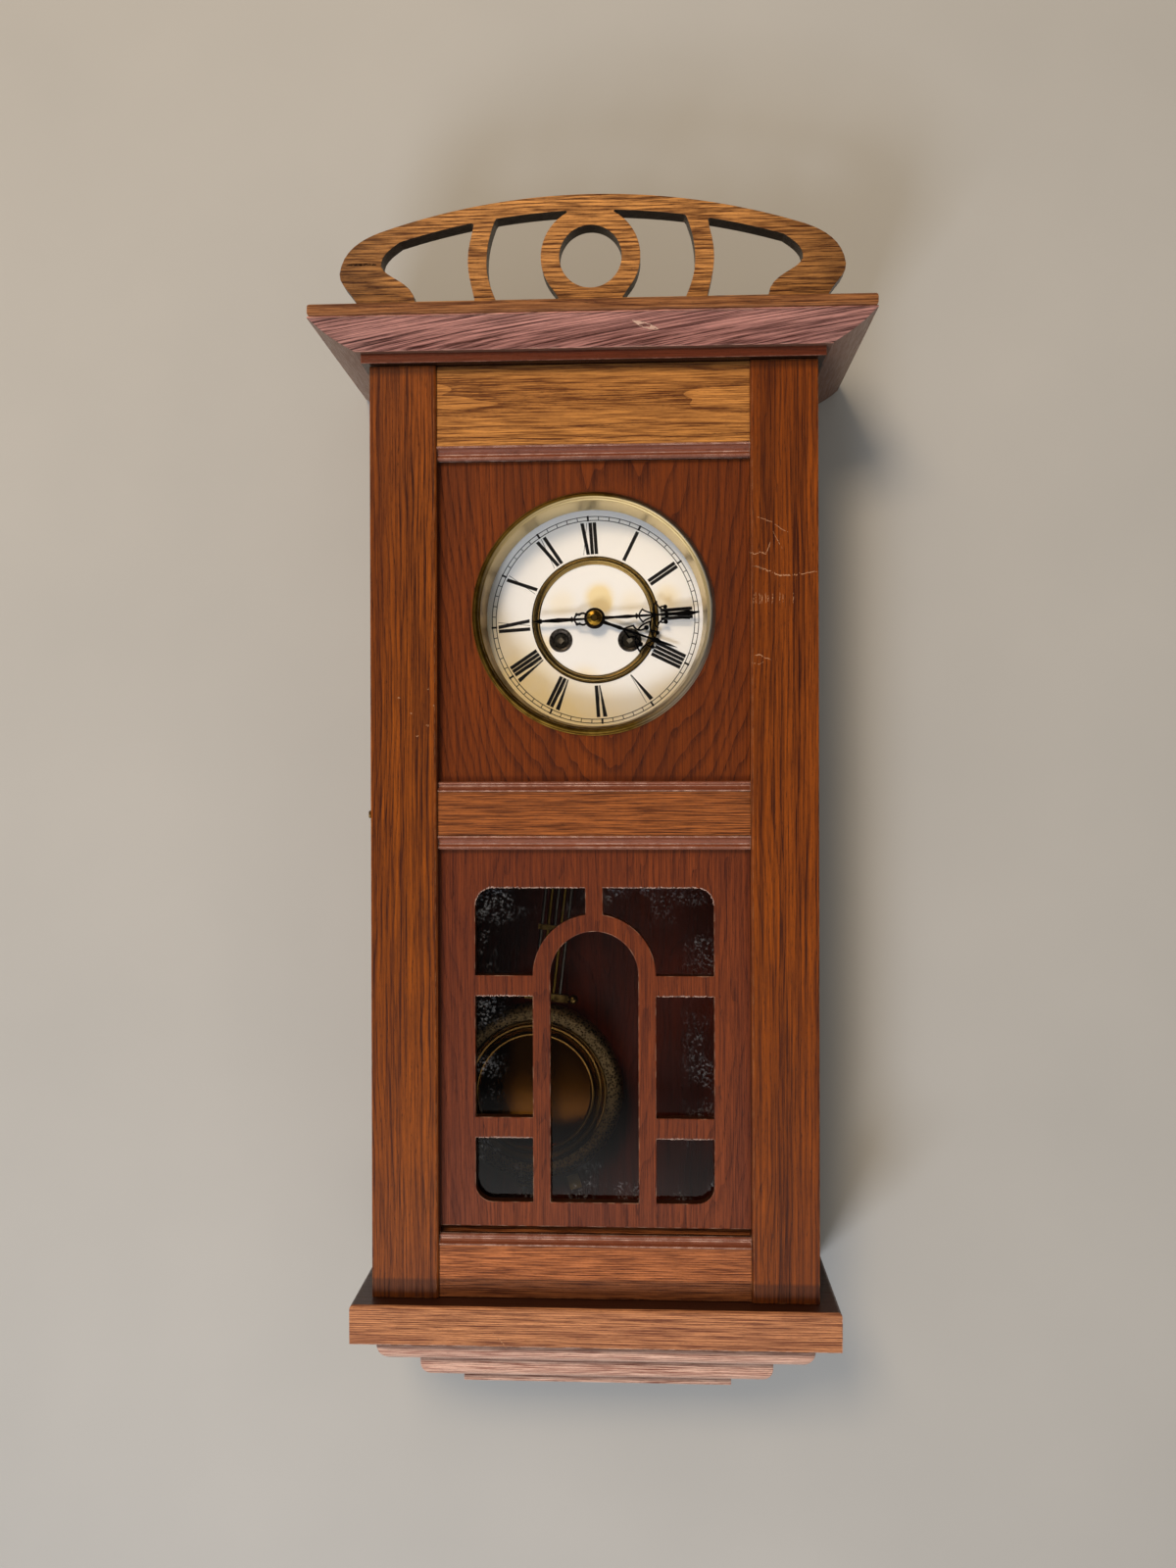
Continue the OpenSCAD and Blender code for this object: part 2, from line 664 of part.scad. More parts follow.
module door_stile_left() color(oak) difference() {
    mirror([1, 0, 0]) stile();
    translate([-door_half - eps, -hook_pin_d, hook_z]) rotate([0, 90, 0])
        cylinder(h = 9 + eps, r = hook_pin_r + seat / 2);
}

module door_stile_right() color(oak) difference() {
    stile();
    for (z = hinge_zs) {
        translate([hinge_x - leaf_w - seat, -door_back - leaf_sink - seat, z - hinge_l / 2 - seat])
            cube([leaf_w + 3, leaf_sink + seat + eps, hinge_l + 2 * seat]);
        translate([hinge_x, -hinge_d, z - hinge_l / 2 - seat])
            cylinder(h = hinge_l + 2 * seat, r = knuckle_r + 0.15);
    }
}

module rail(z0, z1) translate([-stile_in, -rail_d, z0]) cube([2 * stile_in, rail_d - door_back, z1 - z0]);

module door_rail_top() color(oak_light) difference() {
    rail(rail_top_z, door_top);
    groove_cut(-stile_in - eps, stile_in + eps, rail_top_z - eps, rail_top_z + groove + seat);
}

module door_rail_middle() color(oak_light) difference() {
    rail(rail_mid_low, rail_mid_z);
    groove_cut(-stile_in - eps, stile_in + eps, rail_mid_z - groove - seat, rail_mid_z + eps);
    groove_cut(-stile_in - eps, stile_in + eps, rail_mid_low - eps, rail_mid_low + groove + seat);
}

// The bottom rail has a lip behind the fretted panel, which covers the gap below that panel
module door_rail_bottom() color(oak_light) {
    rail(door_bot, rail_bot_z);
    board(stile_in, door_back, panel_back - seat, rail_bot_z, panel_low_z + 6);
}

// Section of a moulding strip as depth and height, with its bead at the foot
function strip_profile(h) = concat(
    [[-panel_d, 0], [-panel_d - 3.2, 0]],
    arc(-panel_d - 4.2, h * 0.17 + 0.3, h * 0.17 + 0.3, -60, -180, 6),
    [[-panel_d - 4.6, h * 0.42]],
    curve([-panel_d - 4.9, h * 0.46], [-panel_d - 5.2, h * 0.7], [-panel_d - 6.4, h * 0.78],
          [-rail_d - 0.6, h * 0.86], 5),
    [[-rail_d - 1, h * 0.9], [-rail_d - 1, h], [-panel_d, h]]);

module strip_down(z, h) side_slab(-stile_in, 2 * stile_in) translate([0, z - h]) polygon(strip_profile(h));
module strip_up(z, h) side_slab(-stile_in, 2 * stile_in)
    translate([0, z + h]) mirror([0, 1]) polygon(strip_profile(h));

module rail_mouldings() color(oak) {
    strip_down(rail_top_z, strip_h);
    strip_up(rail_mid_z, strip_low_h);
    strip_down(rail_mid_low, strip_h);
    strip_up(rail_bot_z, strip_low_h);
}

module panel_outline(z0, z1) translate([-stile_in - groove, z0]) square([2 * (stile_in + groove), z1 - z0]);

module upper_panel() color(oak) slab(panel_back, panel_t) difference() {
    panel_outline(rail_mid_z - groove, rail_top_z + groove);
    translate([0, dial_z]) circle(bezel_hole + seat, $fn = 96);
}

// One half pane of the window, bounded by two levels, on the right of the arch's legs
module side_pane(z0, z1) translate([arch_out, z0]) square([win_half - arch_out, z1 - z0]);

module window_holes() translate([0, win_z]) {
    for (s = [0, 1]) mirror([s, 0]) {
        difference() {
            union() {
                translate([win_bar, -arch_drop]) square([win_half - win_bar - win_round, arch_drop]);
                translate([win_bar, -arch_drop]) square([win_half - win_bar, arch_drop - win_round]);
                translate([win_half - win_round, -win_round]) circle(win_round);
            }
            translate([0, -arch_drop]) circle(arch_out, $fn = 96);
        }
        side_pane(-bar_drop, -arch_drop - bar_h);
        difference() {
            side_pane(-win_h, -bar_drop - bar_h);
            translate([win_half - win_round, -win_h]) square(win_round);
        }
        intersection() {
            side_pane(-win_h, -bar_drop - bar_h);
            translate([win_half - win_round, -win_h + win_round]) circle(win_round);
        }
    }
    translate([-arch_in, -win_h]) square([2 * arch_in, win_h - arch_drop]);
    translate([0, -arch_drop]) intersection() {
        circle(arch_in, $fn = 96);
        translate([-arch_in, -0.01]) square([2 * arch_in, arch_in + 1]);
    }
}

module fretted_panel() color("brown") slab(panel_back, panel_t) difference() {
    panel_outline(panel_low_z, rail_mid_low + groove);
    window_holes();
}

module window_glass() color("lightblue", 0.4)
    board(win_half + glass_lap, panel_back - glass_t, panel_back,
          win_z - win_h - glass_lap, win_z + glass_lap);

// The bezel is two spun rings: the front ring on the panel, and the sloping ring behind the glass
bezel_lip = bezel_hole - 2.1;
tube_r = bezel_hole - 0.1;
glass_back = 3.4;

module bezel() color(brass) {
    turned(0, dial_z, panel_d) polygon(concat(
        [[bezel_r, 0.05], [bezel_r, 0.7], [bezel_r - 0.8, 1]],
        arc(bezel_r - 2.6, 1.4, 2, 0, 150, 10),
        [[bezel_hole - 0.9, 1.2]],
        curve([bezel_hole - 1.1, 0.9], [bezel_lip + 0.6, 0.6], [bezel_lip, 0.2], [bezel_lip, -0.6], 4),
        [[bezel_lip, -glass_back + dial_glass_t], [tube_r - bezel_t, -glass_back + dial_glass_t],
         [tube_r - bezel_t, -panel_t], [tube_r, -panel_t], [tube_r, 0.05]]));
    slope_end = -glass_back - sight_d;
    sleeve_r = tube_r - bezel_t - seat;
    turned(0, dial_z, panel_d) polygon([
        [sleeve_r, -glass_back - 0.05], [sleeve_r - 0.8, -glass_back - 0.05],
        [sleeve_r - 1, -glass_back - 1.2], [sight_r, slope_end], [sight_r, slope_end - 0.8],
        [sight_r + 1, slope_end - 0.8], [sight_r + 1, slope_end], [sleeve_r, -panel_t]]);
}

module dial_glass() color("lightblue", 0.35)
    bar(0, dial_z, panel_d - glass_back, panel_d - glass_back + dial_glass_t - 0.03, tube_r - bezel_t - seat);

// Door halves of the hinges, and the pin that the hook drops over
module door_fittings() color(brass) {
    for (z = hinge_zs) difference() {
        union() {
            translate([hinge_x - leaf_w, -hinge_d - leaf_play - leaf_t, z - hinge_l / 2])
                cube([leaf_w - knuckle_r, leaf_t, hinge_l]);
            translate([hinge_x - knuckle_r - 1, -hinge_d - leaf_play - leaf_t, z - hinge_l / 6 + 0.1])
                cube([knuckle_r + 1, leaf_t, hinge_l / 3 - 0.2]);
            translate([hinge_x, -hinge_d, z - hinge_l / 6 + 0.1])
                cylinder(h = hinge_l / 3 - 0.2, r = knuckle_r);
        }
        translate([hinge_x, -hinge_d, z - hinge_l / 2]) cylinder(h = hinge_l, r = hinge_pin_r + run_fit);
    }
    translate([-case_half - hook_stand - hook_t - 0.4, -hook_pin_d, hook_z]) rotate([0, 90, 0]) {
        cylinder(h = 9 + hook_stand + hook_t - door_half + case_half, r = hook_pin_r);
        translate([0, 0, -1.2]) cylinder(h = 1.2, r = 2.6);
    }
}

// The dial
dial_back = dial_d - dial_t;
plate_front = dial_back;
plate_back = plate_front - dial_plate_t;
dial_feet = [[-40, 48], [40, 48], [0, -41]];

module wind_holes(r) for (s = [-1, 1]) translate([s * wind_x, dial_z - wind_z]) circle(r);

module dial_plate() color("gray") {
    slab(plate_back, dial_plate_t) difference() {
        translate([0, dial_z]) circle(dial_r - 1, $fn = 96);
        translate([0, dial_z]) circle(6);
        wind_holes(wind_hole);
    }
    for (p = dial_feet) bar(p[0], dial_z + p[1], front_plate_d + plate_t, plate_back + 0.01, 1.5);
}

module chapter_ring() color("ivory") slab(plate_front, dial_t) translate([0, dial_z]) difference() {
    circle(dial_r, $fn = 96);
    circle(dial_ring_in + 2.6, $fn = 96);
}

module dial_ring() color(brass) {
    mid = (dial_ring_r + dial_ring_in) / 2;
    turned(0, dial_z, plate_front) polygon(concat(
        [[dial_ring_in, 0], [dial_ring_in, 1.4]],
        arc(mid, 1.1, mid - dial_ring_in - 0.6, 160, 20, 10),
        [[dial_ring_r, dial_t + 0.4], [dial_ring_r, dial_t + 0.05], [dial_ring_in + 2.5, dial_t + 0.05],
         [dial_ring_in + 2.5, 0]]));
}

module dial_centre() color("ivory") slab(plate_front, 0.8) difference() {
    translate([0, dial_z]) circle(dial_ring_in - seat, $fn = 96);
    translate([0, dial_z]) circle(5);
    wind_holes(wind_hole);
}

module winding_eyelets() color(blued) for (s = [-1, 1])
    turned(s * wind_x, dial_z - wind_z, plate_front + 0.8) polygon(concat(
        [[wind_hole - 0.1, -1.8], [wind_hole - 0.1, 0], [eyelet_r, 0]],
        arc(eyelet_r - 0.7, 0.1, 0.7, 0, 90, 4),
        curve([eyelet_r - 1.4, 0.7], [wind_hole + 0.2, 0.6], [wind_hole - 0.8, -0.4],
              [wind_hole - 0.8, -1.8], 4)));

// The hands
hour_hand_d = dial_d + hour_gap;
minute_hand_d = hour_hand_d + hand_t + minute_gap;
hour_pipe_r = 3.4;
cannon_r = 2.4;
minute_bore = 1.8;

// A narrow band of half width w that follows the points p, for the hands' scrolls
function side(p, i) =
    let (t = p[min(i + 1, len(p) - 1)] - p[max(i - 1, 0)]) [-t[1], t[0]] / norm(t);
function band(p, w) = concat([for (i = [0 : len(p) - 1]) p[i] + w * side(p, i)],
                             [for (i = [len(p) - 1 : -1 : 0]) p[i] - w * side(p, i)]);
module scroll(p, q, s, t, w = 0.55) polygon(band(curve(p, q, s, t, 6), w));
module knop(x, y, r) translate([x, y]) circle(r, $fn = 24);

module minute_outline() {
    prong = minute_l - 6;
    circle(5.6);
    polygon([[-1.4, 4], [-0.8, 14], [-1.3, 23], [-0.8, 28.6], [-2.2, 29.4], [-0.9, 30.6], [-0.6, 52],
             [0.6, 52], [0.9, 30.6], [2.2, 29.4], [0.8, 28.6], [1.3, 23], [0.8, 14], [1.4, 4]]);
    polygon([[-3, 49.4], [3, 49.4], [2.7, 51.6], [0.9, 52], [2, prong - 1], [0, minute_l],
             [-2, prong - 1], [-0.9, 52], [-2.7, 51.6]]);
    polygon([[-0.6, -4], [-1, -15.2], [-2.2, -16], [-1.1, -17], [-1.6, -26], [-0.8, -37], [-1.8, -38],
             [0, -minute_tail], [1.8, -38], [0.8, -37], [1.6, -26], [1.1, -17], [2.2, -16], [1, -15.2],
             [0.6, -4]]);
    for (s = [0, 1]) mirror([s, 0]) {
        scroll([0.2, 31], [1.6, 31.8], [3.2, 32.4], [4.9, 34.3]);
        scroll([4.5, 33.8], [2.4, 36], [2.2, 39], [0.2, 42.8]);
        scroll([0.2, 42.4], [3, 40.6], [7, 41.4], [9.6, 44.3]);
        scroll([9.2, 43.7], [5.4, 44.2], [4, 47], [1.6, 50.6]);
        scroll([4.6, 45.8], [5.6, 46.6], [6, 48], [5.4, 49.6]);
        knop(5.3, 49.9, 1.5);
        polygon([[1.7, 50.6], [2.9, 50.4], [4.3, prong - 0.6], [3.2, prong], [1.9, 52]]);
        scroll([0.8, -4.6], [4.6, -6], [5, -9], [2.6, -11.4], 0.7);
        scroll([3, -9.6], [4.4, -11], [3.6, -13], [0.4, -14.6], 0.6);
        knop(3.4, -12.6, 1.1);
    }
}

module minute_hand() color(blued) difference() {
    union() {
        slab(minute_hand_d, hand_t) translate([0, dial_z]) rotate(-minute_angle) minute_outline();
        turned(0, dial_z, minute_hand_d + hand_t)
            polygon([[0, -0.2], [7.4, -0.2], [7.4, 0.5], [6.4, 1.1], [0, 1.1]]);
    }
    bar(0, dial_z, minute_hand_d - eps, minute_hand_d + hand_t + 2, minute_bore + run_fit);
}

module hour_outline() {
    circle(5.6);
    polygon([[-1.5, 4], [-1, 12], [-1.3, 19], [-0.8, 22], [-0.7, 46], [0.7, 46], [0.8, 22], [1.3, 19],
             [1, 12], [1.5, 4]]);
    polygon([[-1.7, 44.6], [-2, 46.6], [-0.9, 49], [-0.8, hour_l - 6], [0, hour_l], [0.8, hour_l - 6],
             [0.9, 49], [2, 46.6], [1.7, 44.6]]);
    for (s = [0, 1]) mirror([s, 0]) {
        scroll([0.2, 21.4], [1.6, 23.4], [3, 24.8], [4.9, 27.8], 0.6);
        scroll([4.5, 27.2], [2, 30], [1.8, 33], [5.8, 36.2], 0.6);
        scroll([2.2, 31.4], [6, 31.6], [9, 34.4], [11.8, 38.4], 0.6);
        scroll([11.3, 37.6], [7, 38.4], [3, 41], [0.3, 45.4], 0.6);
        scroll([4.8, 40.4], [5.8, 41.4], [6.2, 43], [5.4, 44.8], 0.6);
        knop(6.2, 36.4, 1.7);
        knop(5.2, 45, 1.5);
    }
}

module hour_hand() color(blued) difference() {
    union() {
        slab(hour_hand_d, hand_t) translate([0, dial_z]) rotate(-hour_angle) hour_outline();
        turned(0, dial_z, hour_hand_d + hand_t)
            polygon([[0, -0.2], [5.2, -0.2], [5.2, 0.1], [4.6, 0.8], [0, 0.8]]);
    }
    bar(0, dial_z, hour_hand_d - eps, hour_hand_d + hand_t + 2, hour_pipe_r + seat / 2);
}

module hand_nut() color(brass) difference() {
    turned(0, dial_z, minute_hand_d + hand_t + 1.15) polygon(concat(
        [[minute_bore + run_fit, 0], [nut_r, 0], [nut_r, 1.6]],
        arc(nut_r - 1, 1.6, 1, 0, 70, 4),
        [[2.6, 3.2], [minute_bore + run_fit, 3.2]]));
    translate([-nut_r - 1, -minute_hand_d - hand_t - 1.15 - 4.2, dial_z - 0.5]) cube([2 * nut_r + 2, 1.9, 1]);
}

// The movement

arm_t = 3;
foot_x = 43;
foot_z = -43;
foot_d = plate_d + plate_t + plate_gap / 2;
thumb_r = 2;
head_pillar = [46, 64];
pillars = [[-head_pillar[0], head_pillar[1]], head_pillar, [-foot_x, foot_z], [foot_x, foot_z]];
third_at = [14.2, 23.3];
escape_at = [0, 43];
strike_at = [-wind_x - 4.93, -wind_z + 27.97];
hammer_at = [-hammer_x, 10];
minute_at = [-11.88, 11.88];

module plate_shape() {
    x = plate_half;
    polygon([[-x, -plate_down], [x, -plate_down], [x, plate_up - 14], [x - 14, plate_up],
             [-x + 14, plate_up], [-x, plate_up - 14]]);
}

module pivot_holes() {
    for (p = [[0, pivot_up], third_at, escape_at, strike_at, hammer_at])
        translate(p) circle(pivot_r + run_fit, $fn = 32);
    for (s = [-1, 1]) translate([s * wind_x, -wind_z]) circle(wind_r + run_fit);
    for (p = pillars) translate(p) circle(2 + seat / 2);
}

module front_plate() color(brass) {
    slab(front_plate_d, plate_t) translate([0, dial_z]) difference() {
        plate_shape();
        pivot_holes();
        circle(arbor_r + run_fit);
    }
    stud_end = cannon_d + wheel_t + minute_pinion_t + 0.1;
    bar(minute_at[0], dial_z + minute_at[1], front_plate_d + 1, stud_end + 0.8, pivot_r);
    bar(minute_at[0], dial_z + minute_at[1], front_plate_d + 1, cannon_d - 0.1, pivot_r + 1);
    bar(minute_at[0], dial_z + minute_at[1], stud_end, stud_end + 0.8, pivot_r + 1);
}

module back_plate() color(brass) slab(plate_d, plate_t) translate([0, dial_z]) difference() {
    plate_shape();
    pivot_holes();
    circle(pivot_r + run_fit);
    for (s = [-1, 1]) translate([s * 9, pivot_up + 6.5]) circle(screw_r + seat / 2);
}

module plate_pillars() color(brass) for (p = pillars) difference() {
    union() {
        bar(p[0], dial_z + p[1], plate_d + plate_t, front_plate_d, pillar_r);
        bar(p[0], dial_z + p[1], plate_d - 3, front_plate_d + plate_t + 3, 2);
        bar(p[0], dial_z + p[1], plate_d - 2.5, plate_d, 4);
        bar(p[0], dial_z + p[1], front_plate_d + plate_t, front_plate_d + plate_t + 2.5, 4);
    }
    if (p[1] < 0) translate([p[0], -foot_d, dial_z - plate_down - 1]) cylinder(h = 5, r = thumb_r + seat / 2);
}

// Iron bracket on the back board: two arms carry the movement by its feet
bracket_t = 2.5;

module movement_bracket() color(steel) {
    z = dial_z - plate_down;
    difference() {
        union() {
            board(48, back_t, back_t + bracket_t, z - 24, z);
            for (s = [-1, 1]) {
                translate([s * foot_x - 5, -front_plate_d - plate_t - 4, z - arm_t])
                    cube([10, front_plate_d + plate_t + 4 - back_t, arm_t]);
                side_slab(s * foot_x - 1.5, 3)
                    polygon([[-back_t, z - 1], [-back_t, z - 24], [-back_t - bracket_t, z - 24],
                             [-foot_d + 12, z - arm_t], [-foot_d + 12, z - 1]]);
            }
        }
        for (s = [-1, 1]) translate([s * foot_x, -foot_d, z - arm_t - eps])
            cylinder(h = arm_t + 2 * eps, r = thumb_r + seat / 2);
        for (p = bracket_screws) bar(p[0], p[1], back_t - eps, back_t + bracket_t + eps, screw_r + seat / 2);
    }
}

// Cock on the back plate with the cross pin that the pendulum hangs from
cheek_t = 2.4;
chop_half = 1.3;
cheek_gap = 0.2;

module suspension_cock() color(brass) {
    near = rod_d + chop_half + cheek_gap;
    far = rod_d - chop_half - cheek_gap;
    board(14, plate_d - 2.4, plate_d, pivot_z + 3, pivot_z + 10);
    board(4, far - cheek_t, plate_d - 2.4, pivot_z + 5, pivot_z + 10);
    board(3.5, near, near + cheek_t, pivot_z - 3, pivot_z + 5.01);
    board(3.5, far - cheek_t, far, pivot_z - 3, pivot_z + 5.01);
    bar(0, pivot_z, far - cheek_t, near + cheek_t, pivot_r);
    for (s = [-1, 1]) {
        bar(s * 9, pivot_z + 6.5, plate_d - 0.01, plate_d + plate_t, screw_r);
        bar(s * 9, pivot_z + 6.5, plate_d - 2.4 - head_t, plate_d - 2.39, head_r);
    }
}

// Outline of a gear of involute form: module m, z teeth, addendum and dedendum in modules
function inv(a) = tan(a) * 180 / PI - a;
function flank_angle(m, z, r) =
    let (rp = m * z / 2, rb = rp * cos(20), a = r > rb ? acos(rb / r) : 0)
    (PI * m / 2 - tooth_play * m) / (2 * rp) * 180 / PI + inv(20) - inv(a);

module gear_outline(m, z, add, ded) {
    rp = m * z / 2;
    rb = rp * cos(20);
    tip = rp + add * m;
    root = rp - ded * m;
    low = max(rb, root);
    radii = [low, (low + tip) / 2, tip];
    foot = root < rb ? [[root, flank_angle(m, z, low)]] : [];
    flank = concat(foot, [for (r = radii) [r, flank_angle(m, z, r)]]);
    n = len(flank);
    polygon([for (k = [0 : z - 1]) let (c = 360 * k / z) each concat(
        [for (i = [0 : n - 1]) flank[i][0] * [cos(c - flank[i][1]), sin(c - flank[i][1])]],
        [for (i = [n - 1 : -1 : 0]) flank[i][0] * [cos(c + flank[i][1]), sin(c + flank[i][1])]])]);
}

wheel_add = 0.5;
wheel_ded = 1.1;
pinion_add = 0.9;
pinion_ded = 1;

// A train wheel with its rim, hub and spokes, turned so that a tooth points along the angle phase
module wheel(m, z, t, hub, hole, phase, spokes = 5) {
    rim = m * z / 2 - wheel_ded * m - 1.8;
    linear_extrude(t) difference() {
        rotate(phase) gear_outline(m, z, wheel_add, wheel_ded);
        circle(hole);
        difference() {
            circle(rim);
            circle(hub);
            for (i = [0 : spokes - 1]) rotate(360 * i / spokes) translate([0, -1]) square([rim + 2, 2]);
        }
    }
}

module pinion(m, z, t, hole, phase) linear_extrude(t) difference() {
    rotate(phase + 180 / z) gear_outline(m, z, pinion_add, pinion_ded);
    if (hole > 0) circle(hole);
}

// Puts a gear at p from the hands' axis, with its back at depth d
module at(p, d) translate([p[0], -d, dial_z + p[1]]) rotate([90, 0, 0]) children();
function angle(p, q) = atan2(q[1] - p[1], q[0] - p[0]);
function gear_module(p, q, a, b) = 2 * norm(q - p) / (a + b);

time_at = [wind_x, -wind_z];
strike_barrel_at = [-wind_x, -wind_z];
centre_at = [0, 0];
time_m = gear_module(time_at, centre_at, barrel_teeth, leaves);
strike_m = gear_module(strike_barrel_at, strike_at, barrel_teeth, leaves);
centre_m = gear_module(centre_at, third_at, centre_teeth, leaves);
third_m = gear_module(third_at, escape_at, third_teeth, leaves);
minute_teeth = 3 * cannon_leaves;
hour_teeth = 4 * minute_leaves;
cannon_m = gear_module(centre_at, minute_at, cannon_leaves, minute_teeth);
hour_m = gear_module(centre_at, minute_at, minute_leaves, hour_teeth);

// Depths inside the movement, from the back plate forwards
low_d = plate_d + plate_t;
third_d = low_d + 1;
centre_d = low_d + 4;
drum_d = low_d + 7;
great_back = drum_d;
great_t = 2;
great_front = drum_d + barrel_l;
escape_d = low_d + 19;

// An arbor between the plates with a pivot in each, ending level with the plates' faces
module train_arbor(p, r = arbor_r) {
    bar(p[0], dial_z + p[1], low_d + 0.2, front_plate_d - 0.2, r);
    bar(p[0], dial_z + p[1], plate_d, front_plate_d + plate_t, pivot_r);
}

// A spring barrel with its toothed rim, bored to turn on the winding arbor
module barrel(p, toothed_d, m, phase) {
    difference() {
        at(p, drum_d) cylinder(h = barrel_l, r = barrel_r);
        bar(p[0], dial_z + p[1], drum_d - eps, drum_d + barrel_l + great_t + eps, wind_r + run_fit);
    }
    at(p, toothed_d) linear_extrude(great_t) difference() {
        rotate(phase) gear_outline(m, barrel_teeth, wheel_add, wheel_ded);
        circle(wind_r + run_fit);
    }
}

module time_barrel() color(brass) barrel(time_at, great_front, time_m, angle(time_at, centre_at));
module strike_barrel() color(brass)
    barrel(strike_barrel_at, great_back, strike_m, angle(strike_barrel_at, strike_at));

// A winding arbor with its ratchet wheel in front of the plate and its square in the dial's hole
ratchet_d = front_plate_d + plate_t + 0.4;
ratchet_r = 8.5;
ratchet_teeth = 22;

module winding_arbor(p) {
    bar(p[0], dial_z + p[1], plate_d, ratchet_d + 2.4, wind_r);
    at(p, ratchet_d) linear_extrude(1.6)
        polygon([for (k = [0 : ratchet_teeth - 1]) let (c = 360 * k / ratchet_teeth)
            each [ratchet_r * [cos(c), sin(c)], (ratchet_r - 1.4) * [cos(c + 2), sin(c + 2)]]]);
    at(p, ratchet_d + 2.3) rotate([0, 0, 45]) translate([-wind_sq / 2, -wind_sq / 2, 0])
        cube([wind_sq, wind_sq, dial_d - 1 - ratchet_d - 2.3]);
}

module time_arbor() color(steel) winding_arbor(time_at);
module strike_arbor() color(steel) winding_arbor(strike_barrel_at);

// The centre arbor carries its pinion and wheel, and the cannon that drives the hands
cannon_d = front_plate_d + plate_t + 2.5;
minute_pinion_t = 3.4;

module centre_wheel() color(brass) {
    bar(0, dial_z, low_d + 0.2, cannon_d + 0.01, arbor_r);
    bar(0, dial_z, plate_d, low_d + 0.21, pivot_r);
    at(centre_at, great_front - 0.4) pinion(time_m, leaves, great_t + 0.8, 0, angle(centre_at, time_at));
    at(centre_at, centre_d) wheel(centre_m, centre_teeth, wheel_t, 5, 0.5, angle(centre_at, third_at));
    at(centre_at, cannon_d) pinion(cannon_m, cannon_leaves, 2, 0, angle(centre_at, minute_at));
    bar(0, dial_z, cannon_d, hour_hand_d + hand_t + 1, cannon_r);
    bar(0, dial_z, hour_hand_d + hand_t + 0.2, minute_hand_d, cannon_r + 0.4);
    bar(0, dial_z, minute_hand_d - 0.01, minute_hand_d + hand_t + 5.2, minute_bore);
}

module third_wheel() color(brass) {
    train_arbor(third_at);
    at(third_at, centre_d - 0.4) pinion(centre_m, leaves, wheel_t + 0.8, 0, angle(third_at, centre_at));
    at(third_at, third_d) wheel(third_m, third_teeth, wheel_t, 4, 0.5, angle(third_at, escape_at));
}

escape_r = 14;
escape_low = escape_r - 2.6;

module escape_wheel() color(brass) {
    train_arbor(escape_at);
    at(escape_at, third_d - 0.4) pinion(third_m, leaves, wheel_t + 0.8, 0, angle(escape_at, third_at));
    at(escape_at, escape_d) linear_extrude(1) difference() {
        polygon([for (k = [0 : escape_teeth - 1]) let (c = 360 * k / escape_teeth)
            each [escape_low * [cos(c - 5), sin(c - 5)], escape_low * [cos(c + 1), sin(c + 1)],
                  escape_r * [cos(c + 3), sin(c + 3)], escape_r * [cos(c + 3.6), sin(c + 3.6)]]]);
        difference() {
            circle(escape_r - 4.2);
            circle(3.4);
            for (i = [0 : 4]) rotate(72 * i) translate([0, -0.8]) square([escape_r - 3, 1.6]);
        }
    }
}

module minute_wheel() color(brass) {
    at(minute_at, cannon_d)
        wheel(cannon_m, minute_teeth, wheel_t, 3.6, pivot_r + run_fit, angle(minute_at, centre_at), 4);
    at(minute_at, cannon_d + wheel_t - 0.01)
        pinion(hour_m, minute_leaves, minute_pinion_t, pivot_r + run_fit, angle(minute_at, centre_at));
}

module hour_wheel() color(brass) difference() {
    union() {
        at(centre_at, cannon_d + 2.6) wheel(hour_m, hour_teeth, wheel_t, 5, 1, angle(centre_at, minute_at));
        bar(0, dial_z, cannon_d + 2.6, hour_hand_d + hand_t, hour_pipe_r);
    }
    bar(0, dial_z, cannon_d + 2, hour_hand_d + hand_t + 1, cannon_r + run_fit);
}

// Anchor and crutch turn together about the same line as the pendulum's pin
module crutch() color(steel) {
    at([0, pivot_up], escape_d) linear_extrude(1.6) rotate(-lean) {
        circle(3.2);
        for (s = [0, 1]) mirror([s, 0])
            polygon([[0, 1.6], [12, -1.4], [14.6, -5.4], [13, -6], [10.6, -3.8], [0, -1.8]]);
    }
    bar(0, pivot_z, low_d + 0.2, front_plate_d - 0.2, arbor_r);
    bar(0, pivot_z, crutch_d, front_plate_d + plate_t, pivot_r);
    leaning() {
        bar(0, 0, crutch_d, crutch_d + 2.4, 2.4);
        translate([0, -crutch_d - 1.2, -crutch_l]) cylinder(h = crutch_l - 1, r = 0.9);
        for (s = [-1, 1]) bar(s * (hook_half + 1.1), -crutch_l, rod_d - 3, crutch_d + 1.6, 0.8);
        translate([-hook_half - 1.1, -crutch_d - 1.8, -crutch_l - 0.8]) cube([2 * hook_half + 2.2, 1.2, 1.6]);
    }
}
crutch_d = plate_d - 5;
crutch_l = 60;
hook_half = 3;

// The pendulum, drawn hanging from the origin and then leant about its pin
module leaning() translate([0, 0, pivot_z]) rotate([0, lean, 0]) children();
module rod_board(w, half_t, z0, z1) board(w, rod_d - half_t, rod_d + half_t, z0, z1);

bar_h_top = 6;
bar_h_mid = 4;
bar_h_low = 5.6;
bar_low_drop = bob_drop - bob_r - bar_gap;
bar_mid_drop = bar_low_drop - bar_mid_up;

